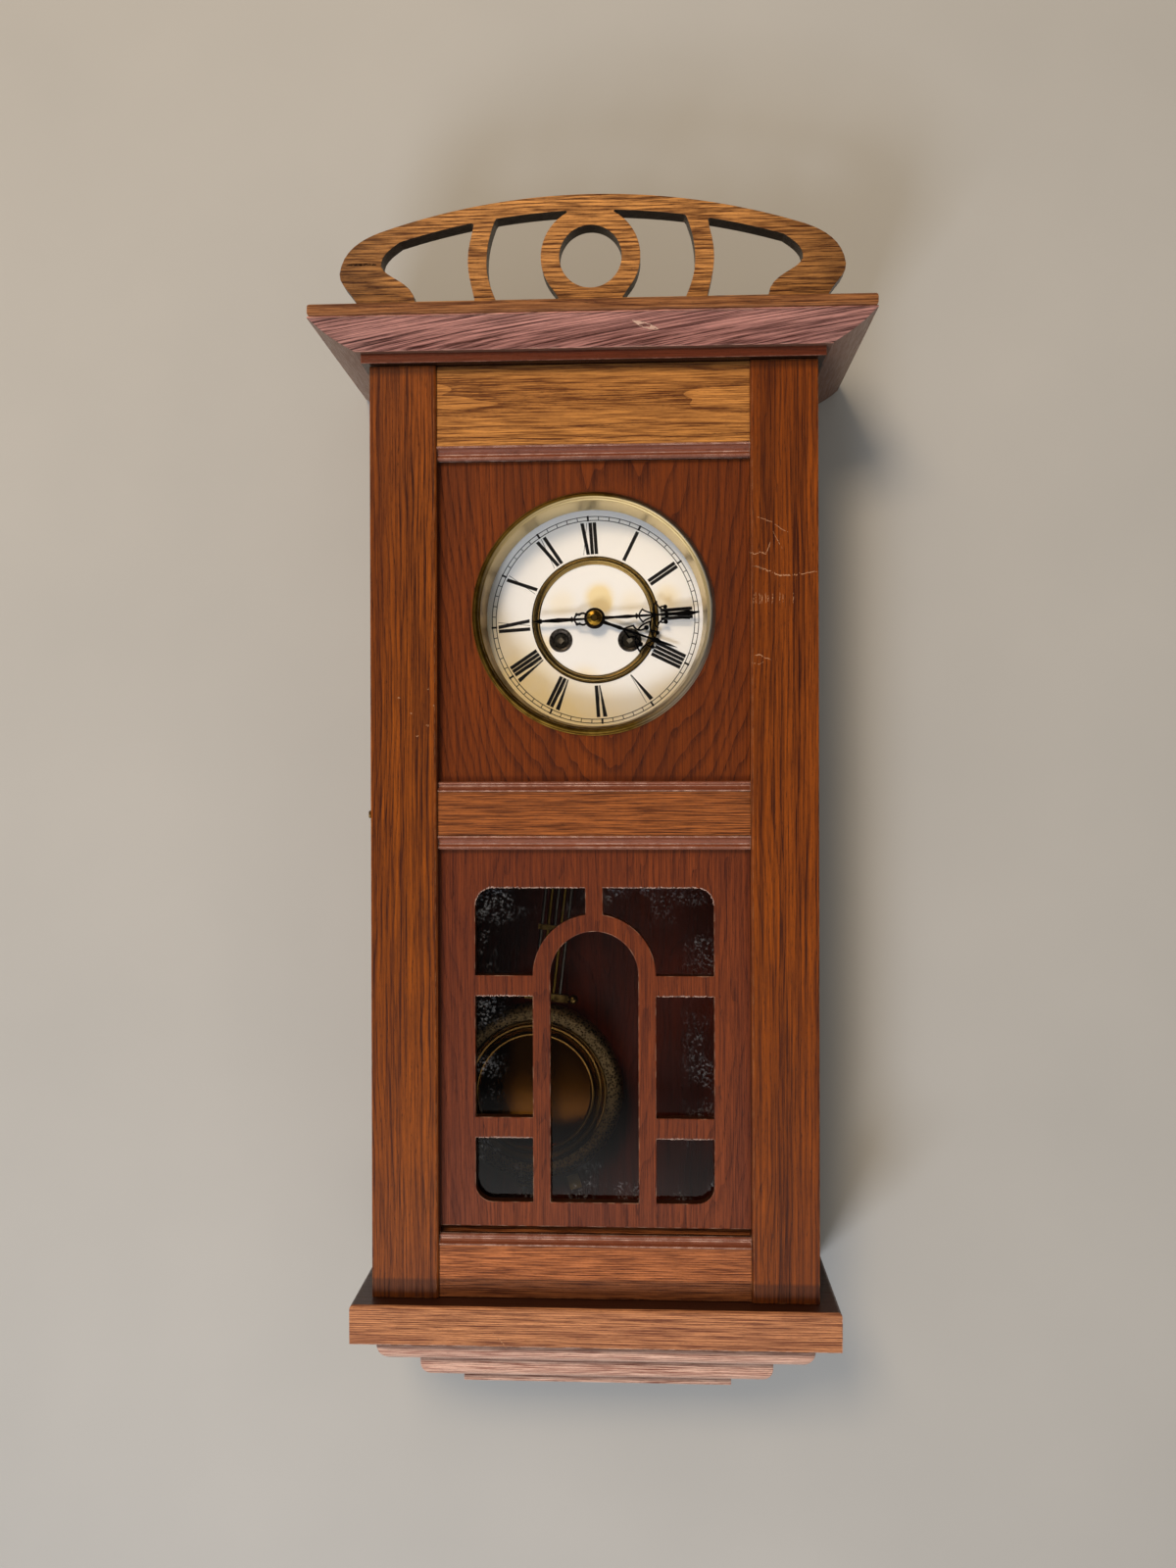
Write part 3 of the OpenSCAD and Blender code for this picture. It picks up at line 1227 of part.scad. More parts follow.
module pendulum_hook() color(steel) leaning() {
    difference() {
        rod_board(4, chop_half, -8, 2.4);
        bar(0, 0, rod_d - 5, rod_d + 5, pivot_r + run_fit);
    }
    rod_board(3, 0.2, -22.01, -7.99);
    rod_board(4, chop_half, -30, -22);
    rod_board(hook_half, 0.7, -bar_top_drop + bar_h_top / 2, -29.99);
}

module pendulum_rods() color("tan") leaning() {
    for (i = [-2 : 2])
        translate([i * rod_pitch, -rod_d, -bar_low_drop + bar_h_low / 2])
            cylinder(h = bar_low_drop - bar_top_drop - (bar_h_low + bar_h_top) / 2, r = rod_r);
    translate([0, -rod_d, -bob_drop - bob_r - 14])
        cylinder(h = bob_drop + bob_r + 14 - bar_low_drop - bar_h_low / 2, r = 1.5);
}

module pendulum_bars() color(brass) leaning() {
    rod_board(2 * rod_pitch + 3, 2.6, -bar_top_drop - bar_h_top / 2, -bar_top_drop + bar_h_top / 2);
    difference() {
        rod_board(2 * rod_pitch + 2.6, 2.2, -bar_mid_drop - bar_h_mid / 2, -bar_mid_drop + bar_h_mid / 2);
        for (i = [-2 : 2]) translate([i * rod_pitch, -rod_d, -bar_mid_drop - bar_h_mid])
            cylinder(h = 2 * bar_h_mid, r = rod_r + seat / 2);
    }
    rod_board(bar_low_half, 2.8, -bar_low_drop - bar_h_low / 2, -bar_low_drop + bar_h_low / 2);
    for (s = [-1, 1]) translate([s * bar_low_half, -rod_d, -bar_low_drop]) rotate([0, 90 * s, 0])
        rotate_extrude($fn = 48) polygon(concat([[0, -1], [knob_r / 2, -1]],
                                                arc(0, knob_r + 0.2, knob_r, -60, 90, 8)));
}

// The bob is a turned and chased disc: dished centre, bead, cove and a broad granulated rim
bob_half = 9;
bob_profile = concat(
    [[0, -bob_half], [bob_r - 6, -bob_half]],
    arc(bob_r - 6, -bob_half + 6, 6, -90, 0, 6),
    arc(bob_r - 5.8, bob_half - 6.2, 5.8, 0, 100, 8),
    [[bob_r - 12.4, bob_half - 2.2], [bob_r - 12.8, bob_half - 0.9], [bob_r - 13.8, bob_half - 0.9]],
    curve([bob_r - 14, bob_half - 2.4], [bob_r - 16, bob_half - 6.4], [bob_r - 19, bob_half - 5.6],
          [bob_r - 20.6, bob_half - 3], 6),
    arc(bob_r - 22.4, bob_half - 2.8, 1.7, 0, 180, 6),
    [[bob_r - 24.4, bob_half - 3.6]],
    curve([bob_r - 24.6, bob_half - 3.8], [bob_r - 34, bob_half - 2.4], [16, bob_half - 1.6],
          [0, bob_half - 1.4], 8));

module pendulum_bob() color(brass) leaning() difference() {
    translate([0, -rod_d, -bob_drop]) rotate([90, 0, 0]) rotate_extrude($fn = 96) polygon(bob_profile);
    translate([0, -rod_d, -bob_drop - bob_r - 1]) cylinder(h = 2 * bob_r + 2, r = 1.5 + seat);
}

module rating_nut() color(brass) leaning() difference() {
    translate([0, -rod_d, -bob_drop - bob_r - 6]) {
        cylinder(h = 4.5, r = rating_r);
        translate([0, 0, 4.5]) cylinder(h = 1.2, r = rating_r * 0.7);
    }
    translate([0, -rod_d, -bob_drop - bob_r - 8]) cylinder(h = 12, r = 1.5 + seat / 2);
}

// The strike

module strike_wheel() color(brass) {
    train_arbor(strike_at);
    at(strike_at, great_back - 0.4)
        pinion(strike_m, leaves, great_t + 0.8, 0, angle(strike_at, strike_barrel_at));
    at(strike_at, third_d) {
        linear_extrude(wheel_t) difference() {
            circle(13);
            difference() {
                circle(10);
                circle(4);
                for (i = [0 : 3]) rotate(90 * i) translate([0, -1]) square([12, 2]);
            }
        }
        for (i = [0 : 7]) rotate(45 * i) translate([11.5, 0, 0]) cylinder(h = 2.6, r = 0.6);
    }
}

hammer_up = 26;
hammer_head_r = 4;
hammer_z = gong_z + hammer_up - dial_z;
hammer_gap = 1.2;
stand_front = 6;
stand_x = -gong_r - 9;
lever_l = norm(strike_at - hammer_at) - 12.6;

module hammer() color(steel) {
    reach = sqrt(pow(gong_r + gong_wire, 2) - pow(hammer_up - hammer_head_r, 2));
    tip = -reach - hammer_gap;
    train_arbor(hammer_at);
    bar(hammer_at[0], dial_z + hammer_at[1], plate_d - 7, plate_d + 0.01, pivot_r);
    bar(hammer_at[0], dial_z + hammer_at[1], plate_d - 7, plate_d - 3, 2.6);
    translate([hammer_at[0], -plate_d + 5, dial_z + hammer_z - 1])
        cylinder(h = hammer_at[1] - hammer_z, r = 1);
    bar(hammer_at[0], dial_z + hammer_z, gong_d - 1, plate_d - 4, 1.6);
    translate([-hammer_x - 2, -gong_d, dial_z + hammer_z]) rotate([0, 90, 0])
        cylinder(h = tip + hammer_x + 2, r = hammer_head_r);
    at(hammer_at, third_d + wheel_t + 0.2) linear_extrude(1.2) rotate(angle(hammer_at, strike_at))
        polygon([[0, 2], [lever_l, 0.6], [lever_l, -0.6], [0, -2]]);
}

// The gong is one wire wound in a flat spiral that ends in its stand
gong_step = 24;
gong_path = concat(
    [for (i = [0 : gong_turns * gong_step]) let (a = 180 - i * 360 / gong_step,
        r = gong_r - gong_pitch * i / gong_step) [r * cos(a), r * sin(a)]]);
gong_points = concat([[-gong_r - 6, 0], [-gong_r - 2.6, 0]], gong_path);
gong_sides = 6;
gong_n = len(gong_points);
function unit(v) = v / norm(v);
function along(i) = unit(gong_points[min(i + 1, gong_n - 1)] - gong_points[max(i - 1, 0)]);
gong_rings = [for (i = [0 : gong_n - 1]) let (t = along(i), s = [-t[1], t[0]])
    for (k = [0 : gong_sides - 1]) let (a = 360 * k / gong_sides)
        [gong_points[i][0] + s[0] * gong_wire * cos(a), -gong_d - gong_wire * sin(a),
         gong_z + gong_points[i][1] + s[1] * gong_wire * cos(a)]];
gong_faces = concat(
    [[for (k = [0 : gong_sides - 1]) k]],
    [for (i = [0 : gong_n - 2], k = [0 : gong_sides - 1]) let (a = i * gong_sides + k,
        b = i * gong_sides + (k + 1) % gong_sides, n = gong_sides) each [[a, a + n, b], [b, a + n, b + n]]],
    [[for (k = [gong_sides - 1 : -1 : 0]) (gong_n - 1) * gong_sides + k]]);
echo(gong_least_gap = gong_pitch - 2 * gong_wire);

module gong() color(blued) polyhedron(gong_rings, gong_faces, 6);

module gong_stand() color(steel) difference() {
    union() {
        translate([stand_x - 6, -gong_d - stand_front, gong_z - 8])
            cube([12, gong_d + stand_front - back_t, 16]);
        translate([stand_x - 10, -back_t - 3, gong_z - 14]) cube([20, 3, 28]);
    }
    translate([-gong_r - 6 - seat, -gong_d, gong_z]) rotate([0, 90, 0])
        cylinder(h = 20, r = gong_wire + seat);
    bar(stand_x, gong_z, back_t - eps, gong_d + stand_front + eps, screw_r + seat / 2);
}

back_board();
case_side_left();
case_side_right();
case_top();
cornice_cap();
cornice_moulding();
crest();
base_board();
base_step_upper();
base_step_middle();
base_step_lower();
hanging_plate();
case_screws();
case_hinge_leaves();
beat_plaque();
door_hook();
door_stile_left();
door_stile_right();
door_rail_top();
door_rail_middle();
door_rail_bottom();
rail_mouldings();
upper_panel();
fretted_panel();
window_glass();
bezel();
dial_glass();
door_fittings();
dial_plate();
chapter_ring();
dial_ring();
dial_centre();
winding_eyelets();
minute_hand();
hour_hand();
hand_nut();
front_plate();
back_plate();
plate_pillars();
movement_bracket();
suspension_cock();
time_barrel();
time_arbor();
strike_barrel();
strike_arbor();
centre_wheel();
third_wheel();
escape_wheel();
minute_wheel();
hour_wheel();
crutch();
pendulum_hook();
pendulum_rods();
pendulum_bars();
pendulum_bob();
rating_nut();
strike_wheel();
hammer();
gong();
gong_stand();
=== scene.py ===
# %% [markdown]
# # A wall regulator clock in an oak case
# The clock lies on a pale floor and is seen from straight above, so the floor is the plane of its
# back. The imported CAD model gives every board, wheel and hinge. This script gives them their
# finishes and adds what is too fine for CAD: printed numerals, the minute track, the bob's punch
# marks, scratches and dust.

# %% Load the frame
import math
import bpy
from mathutils import Matrix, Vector
import numpy as np


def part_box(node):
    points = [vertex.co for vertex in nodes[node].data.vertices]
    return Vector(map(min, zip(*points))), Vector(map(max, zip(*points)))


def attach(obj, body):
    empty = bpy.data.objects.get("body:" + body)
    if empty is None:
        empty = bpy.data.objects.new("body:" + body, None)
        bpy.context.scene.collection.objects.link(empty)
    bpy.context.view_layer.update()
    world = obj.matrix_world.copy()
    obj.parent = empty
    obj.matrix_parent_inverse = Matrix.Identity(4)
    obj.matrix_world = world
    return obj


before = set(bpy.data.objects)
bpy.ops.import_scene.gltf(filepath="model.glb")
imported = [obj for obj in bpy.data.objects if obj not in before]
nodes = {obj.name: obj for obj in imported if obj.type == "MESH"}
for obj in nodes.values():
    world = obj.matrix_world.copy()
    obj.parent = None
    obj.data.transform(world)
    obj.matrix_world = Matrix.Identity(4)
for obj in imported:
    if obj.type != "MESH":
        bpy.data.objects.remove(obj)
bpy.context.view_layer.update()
MM = 0.001
PER_M = 1000.0     # millimetres in a metre


def middle(node):
    """The centre of a CAD node's box, as an array in metres."""
    low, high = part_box(node)
    return (np.array(low) + np.array(high)) / 2


dial = middle("chapter_ring")
bob = middle("pendulum_bob")
print("dial centre", dial.round(4), "bob centre", bob.round(4))

# %% [markdown]
# ## Camera and light
# The photograph was taken with a phone's wide lens about 84 cm above the door. Such a lens shows
# the cornice's bevel below the cap and the undersides of the steps, so distance and lens
# matter more than anything else here. A warm lamp above the clock's left shoulder gives the
# short shadows under the cornice and the mouldings, and a cool one stands at its left foot.

# %% Camera
CAMERA_AT = (0.0354, -0.979, -0.262)
LENS = 28.45
YAW, PITCH, ROLL = math.radians(2.65), math.radians(-0.16), math.radians(-0.15)


def camera_axes(yaw, pitch, roll):
    """Columns X, Y and Z of a camera that looks along +Y, turned by yaw towards -X, tilted by
    pitch and rolled about its own line of sight."""
    forward = np.array([-math.sin(yaw), math.cos(yaw), math.sin(pitch)])
    forward /= np.linalg.norm(forward)
    right = np.cross(forward, [0, 0, 1])
    right /= np.linalg.norm(right)
    up = np.cross(right, forward)
    right, up = (right * math.cos(roll) + up * math.sin(roll),
                 up * math.cos(roll) - right * math.sin(roll))
    return np.column_stack([right, up, -forward])


camera = bpy.data.objects.new("camera", bpy.data.cameras.new("camera"))
bpy.context.collection.objects.link(camera)
camera.data.sensor_width = 36
camera.data.lens = LENS
camera.data.clip_start = 0.01
placed = np.eye(4)
placed[:3, :3] = camera_axes(YAW, PITCH, ROLL)
placed[:3, 3] = CAMERA_AT
camera.matrix_world = Matrix(placed.tolist())
bpy.context.scene.camera = camera
bpy.context.scene.view_settings.view_transform = "Standard"
print("camera at", CAMERA_AT, "m, with a lens of", LENS, "mm")

# %% Helpers for colours, nodes and plain finishes


def linear(code):
    """A colour written as #rrggbb in sRGB, turned to the linear values that nodes use."""
    s = np.array([int(code[i:i + 2], 16) for i in (1, 3, 5)]) / 255
    value = np.where(s <= 0.04045, s / 12.92, ((s + 0.055) / 1.055) ** 2.4)
    return (*value.tolist(), 1.0)


def add(tree, kind, inputs=(), **settings):
    """Adds one node. settings are its properties, and inputs is a dict of socket name or number
    to a plain value, a colour, another node's output, or a node, which means the first of its
    outputs that is in use."""
    node = tree.nodes.new(kind)
    for key, value in settings.items():
        setattr(node, key, value)
    for key, value in dict(inputs).items():
        if isinstance(value, bpy.types.Node):
            value = next(output for output in value.outputs if output.enabled)
        if isinstance(value, bpy.types.NodeSocket):
            tree.links.new(value, node.inputs[key])
        else:
            node.inputs[key].default_value = value
    return node


def blank_material(name):
    """A material and its node tree, still empty."""
    material = bpy.data.materials.new(name)
    material.use_nodes = True
    material.node_tree.nodes.clear()
    return material, material.node_tree


def matt(name, colour, roughness, other=None, scale=0.0, detail=2.0):
    """A plain finish in one colour, or in two that a fine noise of this scale per metre mixes."""
    material, tree = blank_material(name)
    base = linear(colour)
    if other:
        place = add(tree, "ShaderNodeTexCoord").outputs["Object"]
        noise = add(tree, "ShaderNodeTexNoise", {"Vector": place, "Scale": scale, "Detail": detail})
        base = add(tree, "ShaderNodeMix", {"Factor": noise.outputs["Fac"], 6: base,
                                           7: linear(other)}, data_type="RGBA")
    shader = add(tree, "ShaderNodeBsdfPrincipled", {"Base Color": base, "Roughness": roughness})
    add(tree, "ShaderNodeOutputMaterial", {"Surface": shader})
    return material


# %% Lamps and world
def area_lamp(name, at, size, power, towards, colour, mirrored=True):
    """A soft rectangular lamp at a place, aimed at another, in metres and watts. One that isn't
    mirrored leaves no gleam on varnish and metal."""
    lamp = bpy.data.lights.new(name, "AREA")
    lamp.shape = "RECTANGLE"
    lamp.size, lamp.size_y = size
    lamp.energy = power
    lamp.color = linear(colour)[:3]
    holder = bpy.data.objects.new(name, lamp)
    bpy.context.collection.objects.link(holder)
    holder.visible_glossy = mirrored
    aim = np.array(towards) - np.array(at)
    z = -aim / np.linalg.norm(aim)
    x = np.cross([0.02, 1, 0.03], z)     # any direction off the aim gives the lamp its sides
    x /= np.linalg.norm(x)
    turn = np.eye(4)
    turn[:3, :3] = np.column_stack([x, np.cross(z, x), z])
    turn[:3, 3] = at
    holder.matrix_world = Matrix(turn.tolist())


MIDDLE = (0, -0.1, -0.3)     # what the lamps are aimed at, near the middle rail
area_lamp("ceiling_lamp", (-0.75, -2.05, 1.3), (0.9, 0.9), 6, MIDDLE, "#ffe2bc")
area_lamp("foot_lamp", (-0.65, -1.8, -1.6), (0.6, 0.6), 25, MIDDLE, "#e7efff", mirrored=False)
area_lamp("key_lamp", (-0.5, -2.3, 0.85), (0.6, 0.6), 29, MIDDLE, "#ffe6c6", mirrored=False)

# The world fills the shadows. What polished surfaces mirror is dark above the clock and bright
# below its foot and to its left, as in a room with windows there, so faces that look that way
# gleam. It is worked out from the direction's parts to the right and upwards.
FILL, BACKGROUND = 0.36, 0.9     # the world's strength on the clock, and as the camera sees it
world = bpy.data.worlds.new("studio")
bpy.context.scene.world = world
world.use_nodes = True
tree = world.node_tree
tree.nodes.clear()
rays = add(tree, "ShaderNodeLightPath").outputs
towards = add(tree, "ShaderNodeTexCoord").outputs["Generated"]
sides = add(tree, "ShaderNodeSeparateXYZ", {"Vector": towards}).outputs
below = add(tree, "ShaderNodeMapRange", {"Value": sides[2], "From Min": -0.24, "From Max": -0.38,
                                         "To Min": 0.03, "To Max": 1.1})
leftward = add(tree, "ShaderNodeMapRange", {"Value": sides[0], "From Min": 0.2, "From Max": -0.2,
                                            "To Min": 0.7, "To Max": 1.5})
below = add(tree, "ShaderNodeMath", {0: below, 1: leftward}, operation="MULTIPLY")
beside = add(tree, "ShaderNodeMapRange", {"Value": sides[0], "From Min": -0.3, "From Max": -0.75,
                                          "To Max": 0.5})
mirrored = add(tree, "ShaderNodeMath", {0: below, 1: beside}, operation="MAXIMUM")
fill = add(tree, "ShaderNodeMix", {0: rays["Is Glossy Ray"], 2: FILL, 3: mirrored})
seen = add(tree, "ShaderNodeMix", {0: rays["Is Camera Ray"], 2: fill, 3: BACKGROUND})
sky = add(tree, "ShaderNodeBackground", {"Color": linear("#f3f0ec"), "Strength": seen})
add(tree, "ShaderNodeOutputWorld", {"Surface": sky})
print(len(bpy.data.lights), "lamps, world fill", FILL)

# %% Floor
# The floor is a plain pale plane one millimetre behind the back of the case. It is see-through
# from behind, and open from 3 mm inside the case's outline, so that the back can be looked at too.
FAR = 4     # half the floor's width and length, metres
low, high = (np.array(corner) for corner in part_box("back_board"))
low, high = low + 3 * MM, high - 3 * MM
outline = [(-FAR, -FAR), (FAR, -FAR), (FAR, FAR), (-FAR, FAR)]
opening = [(low[0], low[2]), (high[0], low[2]), (high[0], high[2]), (low[0], high[2])]
floor_mesh = bpy.data.meshes.new("floor")
floor_mesh.from_pydata([(x, MM, z) for x, z in outline + opening], [],
                       [(0, 1, 5, 4), (1, 2, 6, 5), (2, 3, 7, 6), (3, 0, 4, 7)])
print(f"floor, open over {high[0] - low[0]:.3f} by {high[2] - low[2]:.3f} m behind the case")
floor = bpy.data.objects.new("floor", floor_mesh)
bpy.context.collection.objects.link(floor)
material, tree = blank_material("pale floor")
spot = add(tree, "ShaderNodeTexCoord").outputs["Object"]
cloud = add(tree, "ShaderNodeTexNoise", {"Vector": spot, "Scale": 5.0, "Detail": 4.0})
tint = add(tree, "ShaderNodeMix", {"Factor": cloud.outputs["Fac"], 6: linear("#b2b0aa"),
                                   7: linear("#bebbb4")}, data_type="RGBA")
plain = add(tree, "ShaderNodeBsdfPrincipled", {"Base Color": tint, "Roughness": 0.8})
clear = add(tree, "ShaderNodeBsdfTransparent")
back = add(tree, "ShaderNodeNewGeometry").outputs["Backfacing"]
either = add(tree, "ShaderNodeMixShader", {0: back, 1: plain, 2: clear})
add(tree, "ShaderNodeOutputMaterial", {"Surface": either})
floor_mesh.materials.append(material)

# %% [markdown]
# ## Stained oak
# Oak shows growth rings where the saw cut through them, bands and streaks of darker and lighter
# wood along the grain, and fine pores as dark dashes that crowd at the start of each ring. Its
# sharp edges have been rubbed to pale wood, and along the mouldings' beads that pale edge is a
# painted highlight. Bands of painted shade lie under the ledges. A ring is the fractional part of a
# slow level. The level is a distance from the heart of the cut, so a board sawn near the heart gets
# nested arches, and one sawn far from it gets straight lines. Object coordinates are turned to
# millimetres first, so each scale below is a count per millimetre, and lengths along the grain are
# divided by a number from 4 to 90, which draws the noise out into streaks.

# %% Layers of the grain
# How far each layer is drawn out along the grain, its count per mm, its detail, the noise's range.
LAYERS = {
    "band": (90, 0.26, 2.0, 0.40, 0.60),      # stripes 2 to 4 mm wide
    "streak": (32, 0.85, 4.0, 0.38, 0.64),    # streaks of about 1 mm
    "pore": (11, 2.3, 2.0, 0.56, 0.68),       # dashes of 0.3 by 4 mm
    "patch": (4, 0.016, 3.0, 0.38, 0.66),     # slow change of the stain
}


def grain_layers(tree, place, along, seed, length, deep, fine):
    """The noises of LAYERS by name, each drawn out along one axis (0, 1 or 2). length scales how
    far they run, fine narrows them, and deep scales their change from front to back."""
    layer = {}
    for key, (ratio, scale, detail, low, high) in LAYERS.items():
        stretch = [PER_M * fine, PER_M * fine * deep, PER_M * fine]
        stretch[along] = PER_M / (1 + (ratio - 1) * length)
        drawn_out = add(tree, "ShaderNodeMapping", {"Vector": place, "Scale": stretch,
                                                    "Location": (seed, seed * 1.7, seed * 0.6)})
        noise = add(tree, "ShaderNodeTexNoise", {"Vector": drawn_out, "Scale": scale,
                                                 "Detail": detail, "Roughness": 0.6})
        layer[key] = add(tree, "ShaderNodeMapRange", {"Value": noise.outputs["Fac"],
                                                      "From Min": low, "From Max": high})
    return layer


# %% Growth rings
EARLY = 0.42     # share of each ring that is open early wood
BENDS = 0.022    # bends of the rings per mm across the grain
SLOWER = 6       # how many times longer a bend is along the grain


def early_wood(tree, place, along, seed, heart, arch, ring, wander, deep):
    """One at the start of each ring, falling to nought where its early wood ends. The level is
    across / ring plus a slow noise, where across is the distance from the heart (x, z) in mm. arch
    is how much distance along the grain counts in it, and wander how many rings the noise is worth,
    more or less."""
    weight = [PER_M / ring, PER_M * deep / ring, PER_M / ring]
    weight[along] = PER_M * arch / ring
    to_heart = [-heart[0] * weight[0] / PER_M, 0.0, -heart[1] * weight[2] / PER_M]
    from_heart = add(tree, "ShaderNodeMapping", {"Vector": place, "Scale": weight,
                                                 "Location": to_heart})
    far = add(tree, "ShaderNodeVectorMath", {0: from_heart}, operation="LENGTH")
    slow = [PER_M, PER_M * deep, PER_M]
    slow[along] = PER_M / SLOWER
    slow = add(tree, "ShaderNodeMapping", {"Vector": place, "Scale": slow,
                                           "Location": (seed * 2, 0, seed)})
    drift = add(tree, "ShaderNodeTexNoise", {"Vector": slow, "Scale": BENDS, "Detail": 3.0,
                                             "Roughness": 0.55}).outputs["Fac"]
    level = add(tree, "ShaderNodeMath", {0: drift, 1: wander * 4, 2: far}, operation="MULTIPLY_ADD")
    year = add(tree, "ShaderNodeMath", {0: level}, operation="FRACT")
    return add(tree, "ShaderNodeMapRange", {"Value": year, "From Min": EARLY, "From Max": 0.0})


# %% Rubbed edges and painted highlights
EDGE = 0.0011     # radius of the pale band along an edge, worn on most boards and a painted highlight on the mouldings, metres


def pale_edges(tree, place, wear_and_glint_share):
    """The flat normal, the rounded one, and how pale an edge turns: rubbed-off stain on most
    boards, and a painted highlight along the mouldings' beads. An edge is where the Bevel node's
    rounded normal leaves the flat one, and it turns pale in patches."""
    flat = add(tree, "ShaderNodeNewGeometry").outputs["Normal"]
    bent = add(tree, "ShaderNodeBevel", {"Radius": EDGE}, samples=4)
    same = add(tree, "ShaderNodeVectorMath", {0: flat, 1: bent}, operation="DOT_PRODUCT")
    near = add(tree, "ShaderNodeMapRange", {"Value": same, "From Min": 0.995, "From Max": 0.86})
    patch = add(tree, "ShaderNodeTexNoise", {"Vector": place, "Scale": 130.0, "Detail": 5.0})
    patch = add(tree, "ShaderNodeMapRange", {"Value": patch.outputs["Fac"], "From Min": 0.45,
                                             "From Max": 0.6, "To Min": wear_and_glint_share[0], "To Max": wear_and_glint_share[1]})
    return flat, bent, add(tree, "ShaderNodeMath", {0: near, 1: patch}, operation="MULTIPLY")


# %% Stained oak
PORE_DEPTH = 0.00015     # metres
SHADE_COLOUR, SHADE_MOST = "#2a1206", 0.55     # colour of painted shade, and how much of it there is at most


def stained_oak(name, light, dark, pore, grain="Z", seed=0.0, heart=(0.0, 0.0), arch=0.0, ring=2.4,
                wander=3.0, weights=(0.5, 0.4, 0.25), length=1.0, stain="#4a2013", sawn_and_shaded="#2c1408",
                rough=0.28, wear_and_glint_share=(0.0, 0.5), wear_and_glint_colour="#c08a5c", patchy=0.4, slant=0.0, deep=1.0,
                fine=1.0, painted_shade=()):
    """Oak with its grain along one axis, in a light and a dark colour with a third for its pores.

    weights are the shares of bands, streaks and rings in the dark figure. slant turns the grain,
    in degrees. patchy is how much the stain changes slowly. The colour for faces square to the
    front stands for end grain that drank more stain, and is also painted shade, as on the base's
    top and the crest's inner edges. The pale edge colour, with its share at least and at most, is
    rubbed-off stain on most boards and a painted highlight along the mouldings' beads. The bands of
    painted shade are given each as an axis and the two places along it, in mm, between which the
    shade comes in: under the cornice, above the base, under each step and towards the crest's
    ends. The rest is explained at the functions above."""
    material, tree = blank_material(name)
    place = add(tree, "ShaderNodeTexCoord").outputs["Object"]
    place = add(tree, "ShaderNodeVectorRotate", {"Vector": place, "Angle": math.radians(slant)},
                rotation_type="Y_AXIS")
    along = "XYZ".index(grain)
    layer = grain_layers(tree, place, along, seed, length, deep, fine)
    early = early_wood(tree, place, along, seed, heart, arch, ring, wander, deep)
    # the dark figure is the weighted sum of bands, streaks and rings
    figure = add(tree, "ShaderNodeMath", {0: layer["band"], 1: weights[0]}, operation="MULTIPLY")
    figure = add(tree, "ShaderNodeMath", {0: layer["streak"], 1: weights[1], 2: figure},
                 operation="MULTIPLY_ADD")
    figure = add(tree, "ShaderNodeMath", {0: early, 1: weights[2], 2: figure},
                 operation="MULTIPLY_ADD", use_clamp=True)
    wood = add(tree, "ShaderNodeMix", {"Factor": figure, 6: linear(light), 7: linear(dark)},
               data_type="RGBA")
    much = add(tree, "ShaderNodeMath", {0: layer["patch"], 1: patchy}, operation="MULTIPLY")
    wood = add(tree, "ShaderNodeMix", {"Factor": much, 6: wood, 7: linear(stain)}, data_type="RGBA")
    crowd = add(tree, "ShaderNodeMath", {0: early, 1: 0.6, 2: 0.35}, operation="MULTIPLY_ADD")
    pores = add(tree, "ShaderNodeMath", {0: layer["pore"], 1: crowd}, operation="MULTIPLY")
    body = add(tree, "ShaderNodeMix", {"Factor": pores, 6: wood, 7: linear(pore)}, data_type="RGBA")
    flat, bent, rubbed = pale_edges(tree, place, wear_and_glint_share)
    # faces square to the front, darkened by end-grain stain and painted shade: the part of the flat
    # normal that points to the front is small
    facing = add(tree, "ShaderNodeSeparateXYZ", {"Vector": flat}).outputs[1]
    facing = add(tree, "ShaderNodeMath", {0: facing}, operation="ABSOLUTE")
    edge = add(tree, "ShaderNodeMapRange", {"Value": facing, "From Min": 0.3, "From Max": 0.1})
    body = add(tree, "ShaderNodeMix", {"Factor": edge, 6: body, 7: linear(sawn_and_shaded)}, data_type="RGBA")
    # painted shade: bands darkened towards one dark colour under the cornice, above the base, under
    # each step and towards the crest's ends. Each starts at the first place given and is full at
    # the second.
    for axis, clean, shaded_end in painted_shade:
        along_it = add(tree, "ShaderNodeSeparateXYZ", {"Vector": place}).outputs[axis]
        shade = add(tree, "ShaderNodeMapRange", {"Value": along_it, "From Min": clean * MM,
                                                 "From Max": shaded_end * MM, "To Max": SHADE_MOST})
        body = add(tree, "ShaderNodeMix", {"Factor": shade, 6: body, 7: linear(SHADE_COLOUR)},
                   data_type="RGBA")
    # pale edges: rubbed-off stain on most boards, a painted highlight on the mouldings' beads
    worn_and_glinting = add(tree, "ShaderNodeMix", {"Factor": rubbed, 6: body, 7: linear(wear_and_glint_colour)},
               data_type="RGBA")
    # pores are pits, and the dark figure lies a little lower than the light wood
    height = add(tree, "ShaderNodeMath", {0: pores, 1: -0.8, 2: 1.0}, operation="MULTIPLY_ADD")
    height = add(tree, "ShaderNodeMath", {0: figure, 1: -0.5, 2: height}, operation="MULTIPLY_ADD")
    bump = add(tree, "ShaderNodeBump", {"Strength": 0.7, "Distance": PORE_DEPTH, "Height": height,
                                        "Normal": bent})
    dull = add(tree, "ShaderNodeMath", {0: pores, 1: figure}, operation="MAXIMUM")
    gloss = add(tree, "ShaderNodeMapRange", {"Value": dull, "To Min": rough,
                                             "To Max": rough + 0.16})
    shader = add(tree, "ShaderNodeBsdfPrincipled", {"Base Color": worn_and_glinting, "Roughness": gloss,
                                                    "Normal": bump, "Specular IOR Level": 0.4})
    add(tree, "ShaderNodeOutputMaterial", {"Surface": shader})
    return material


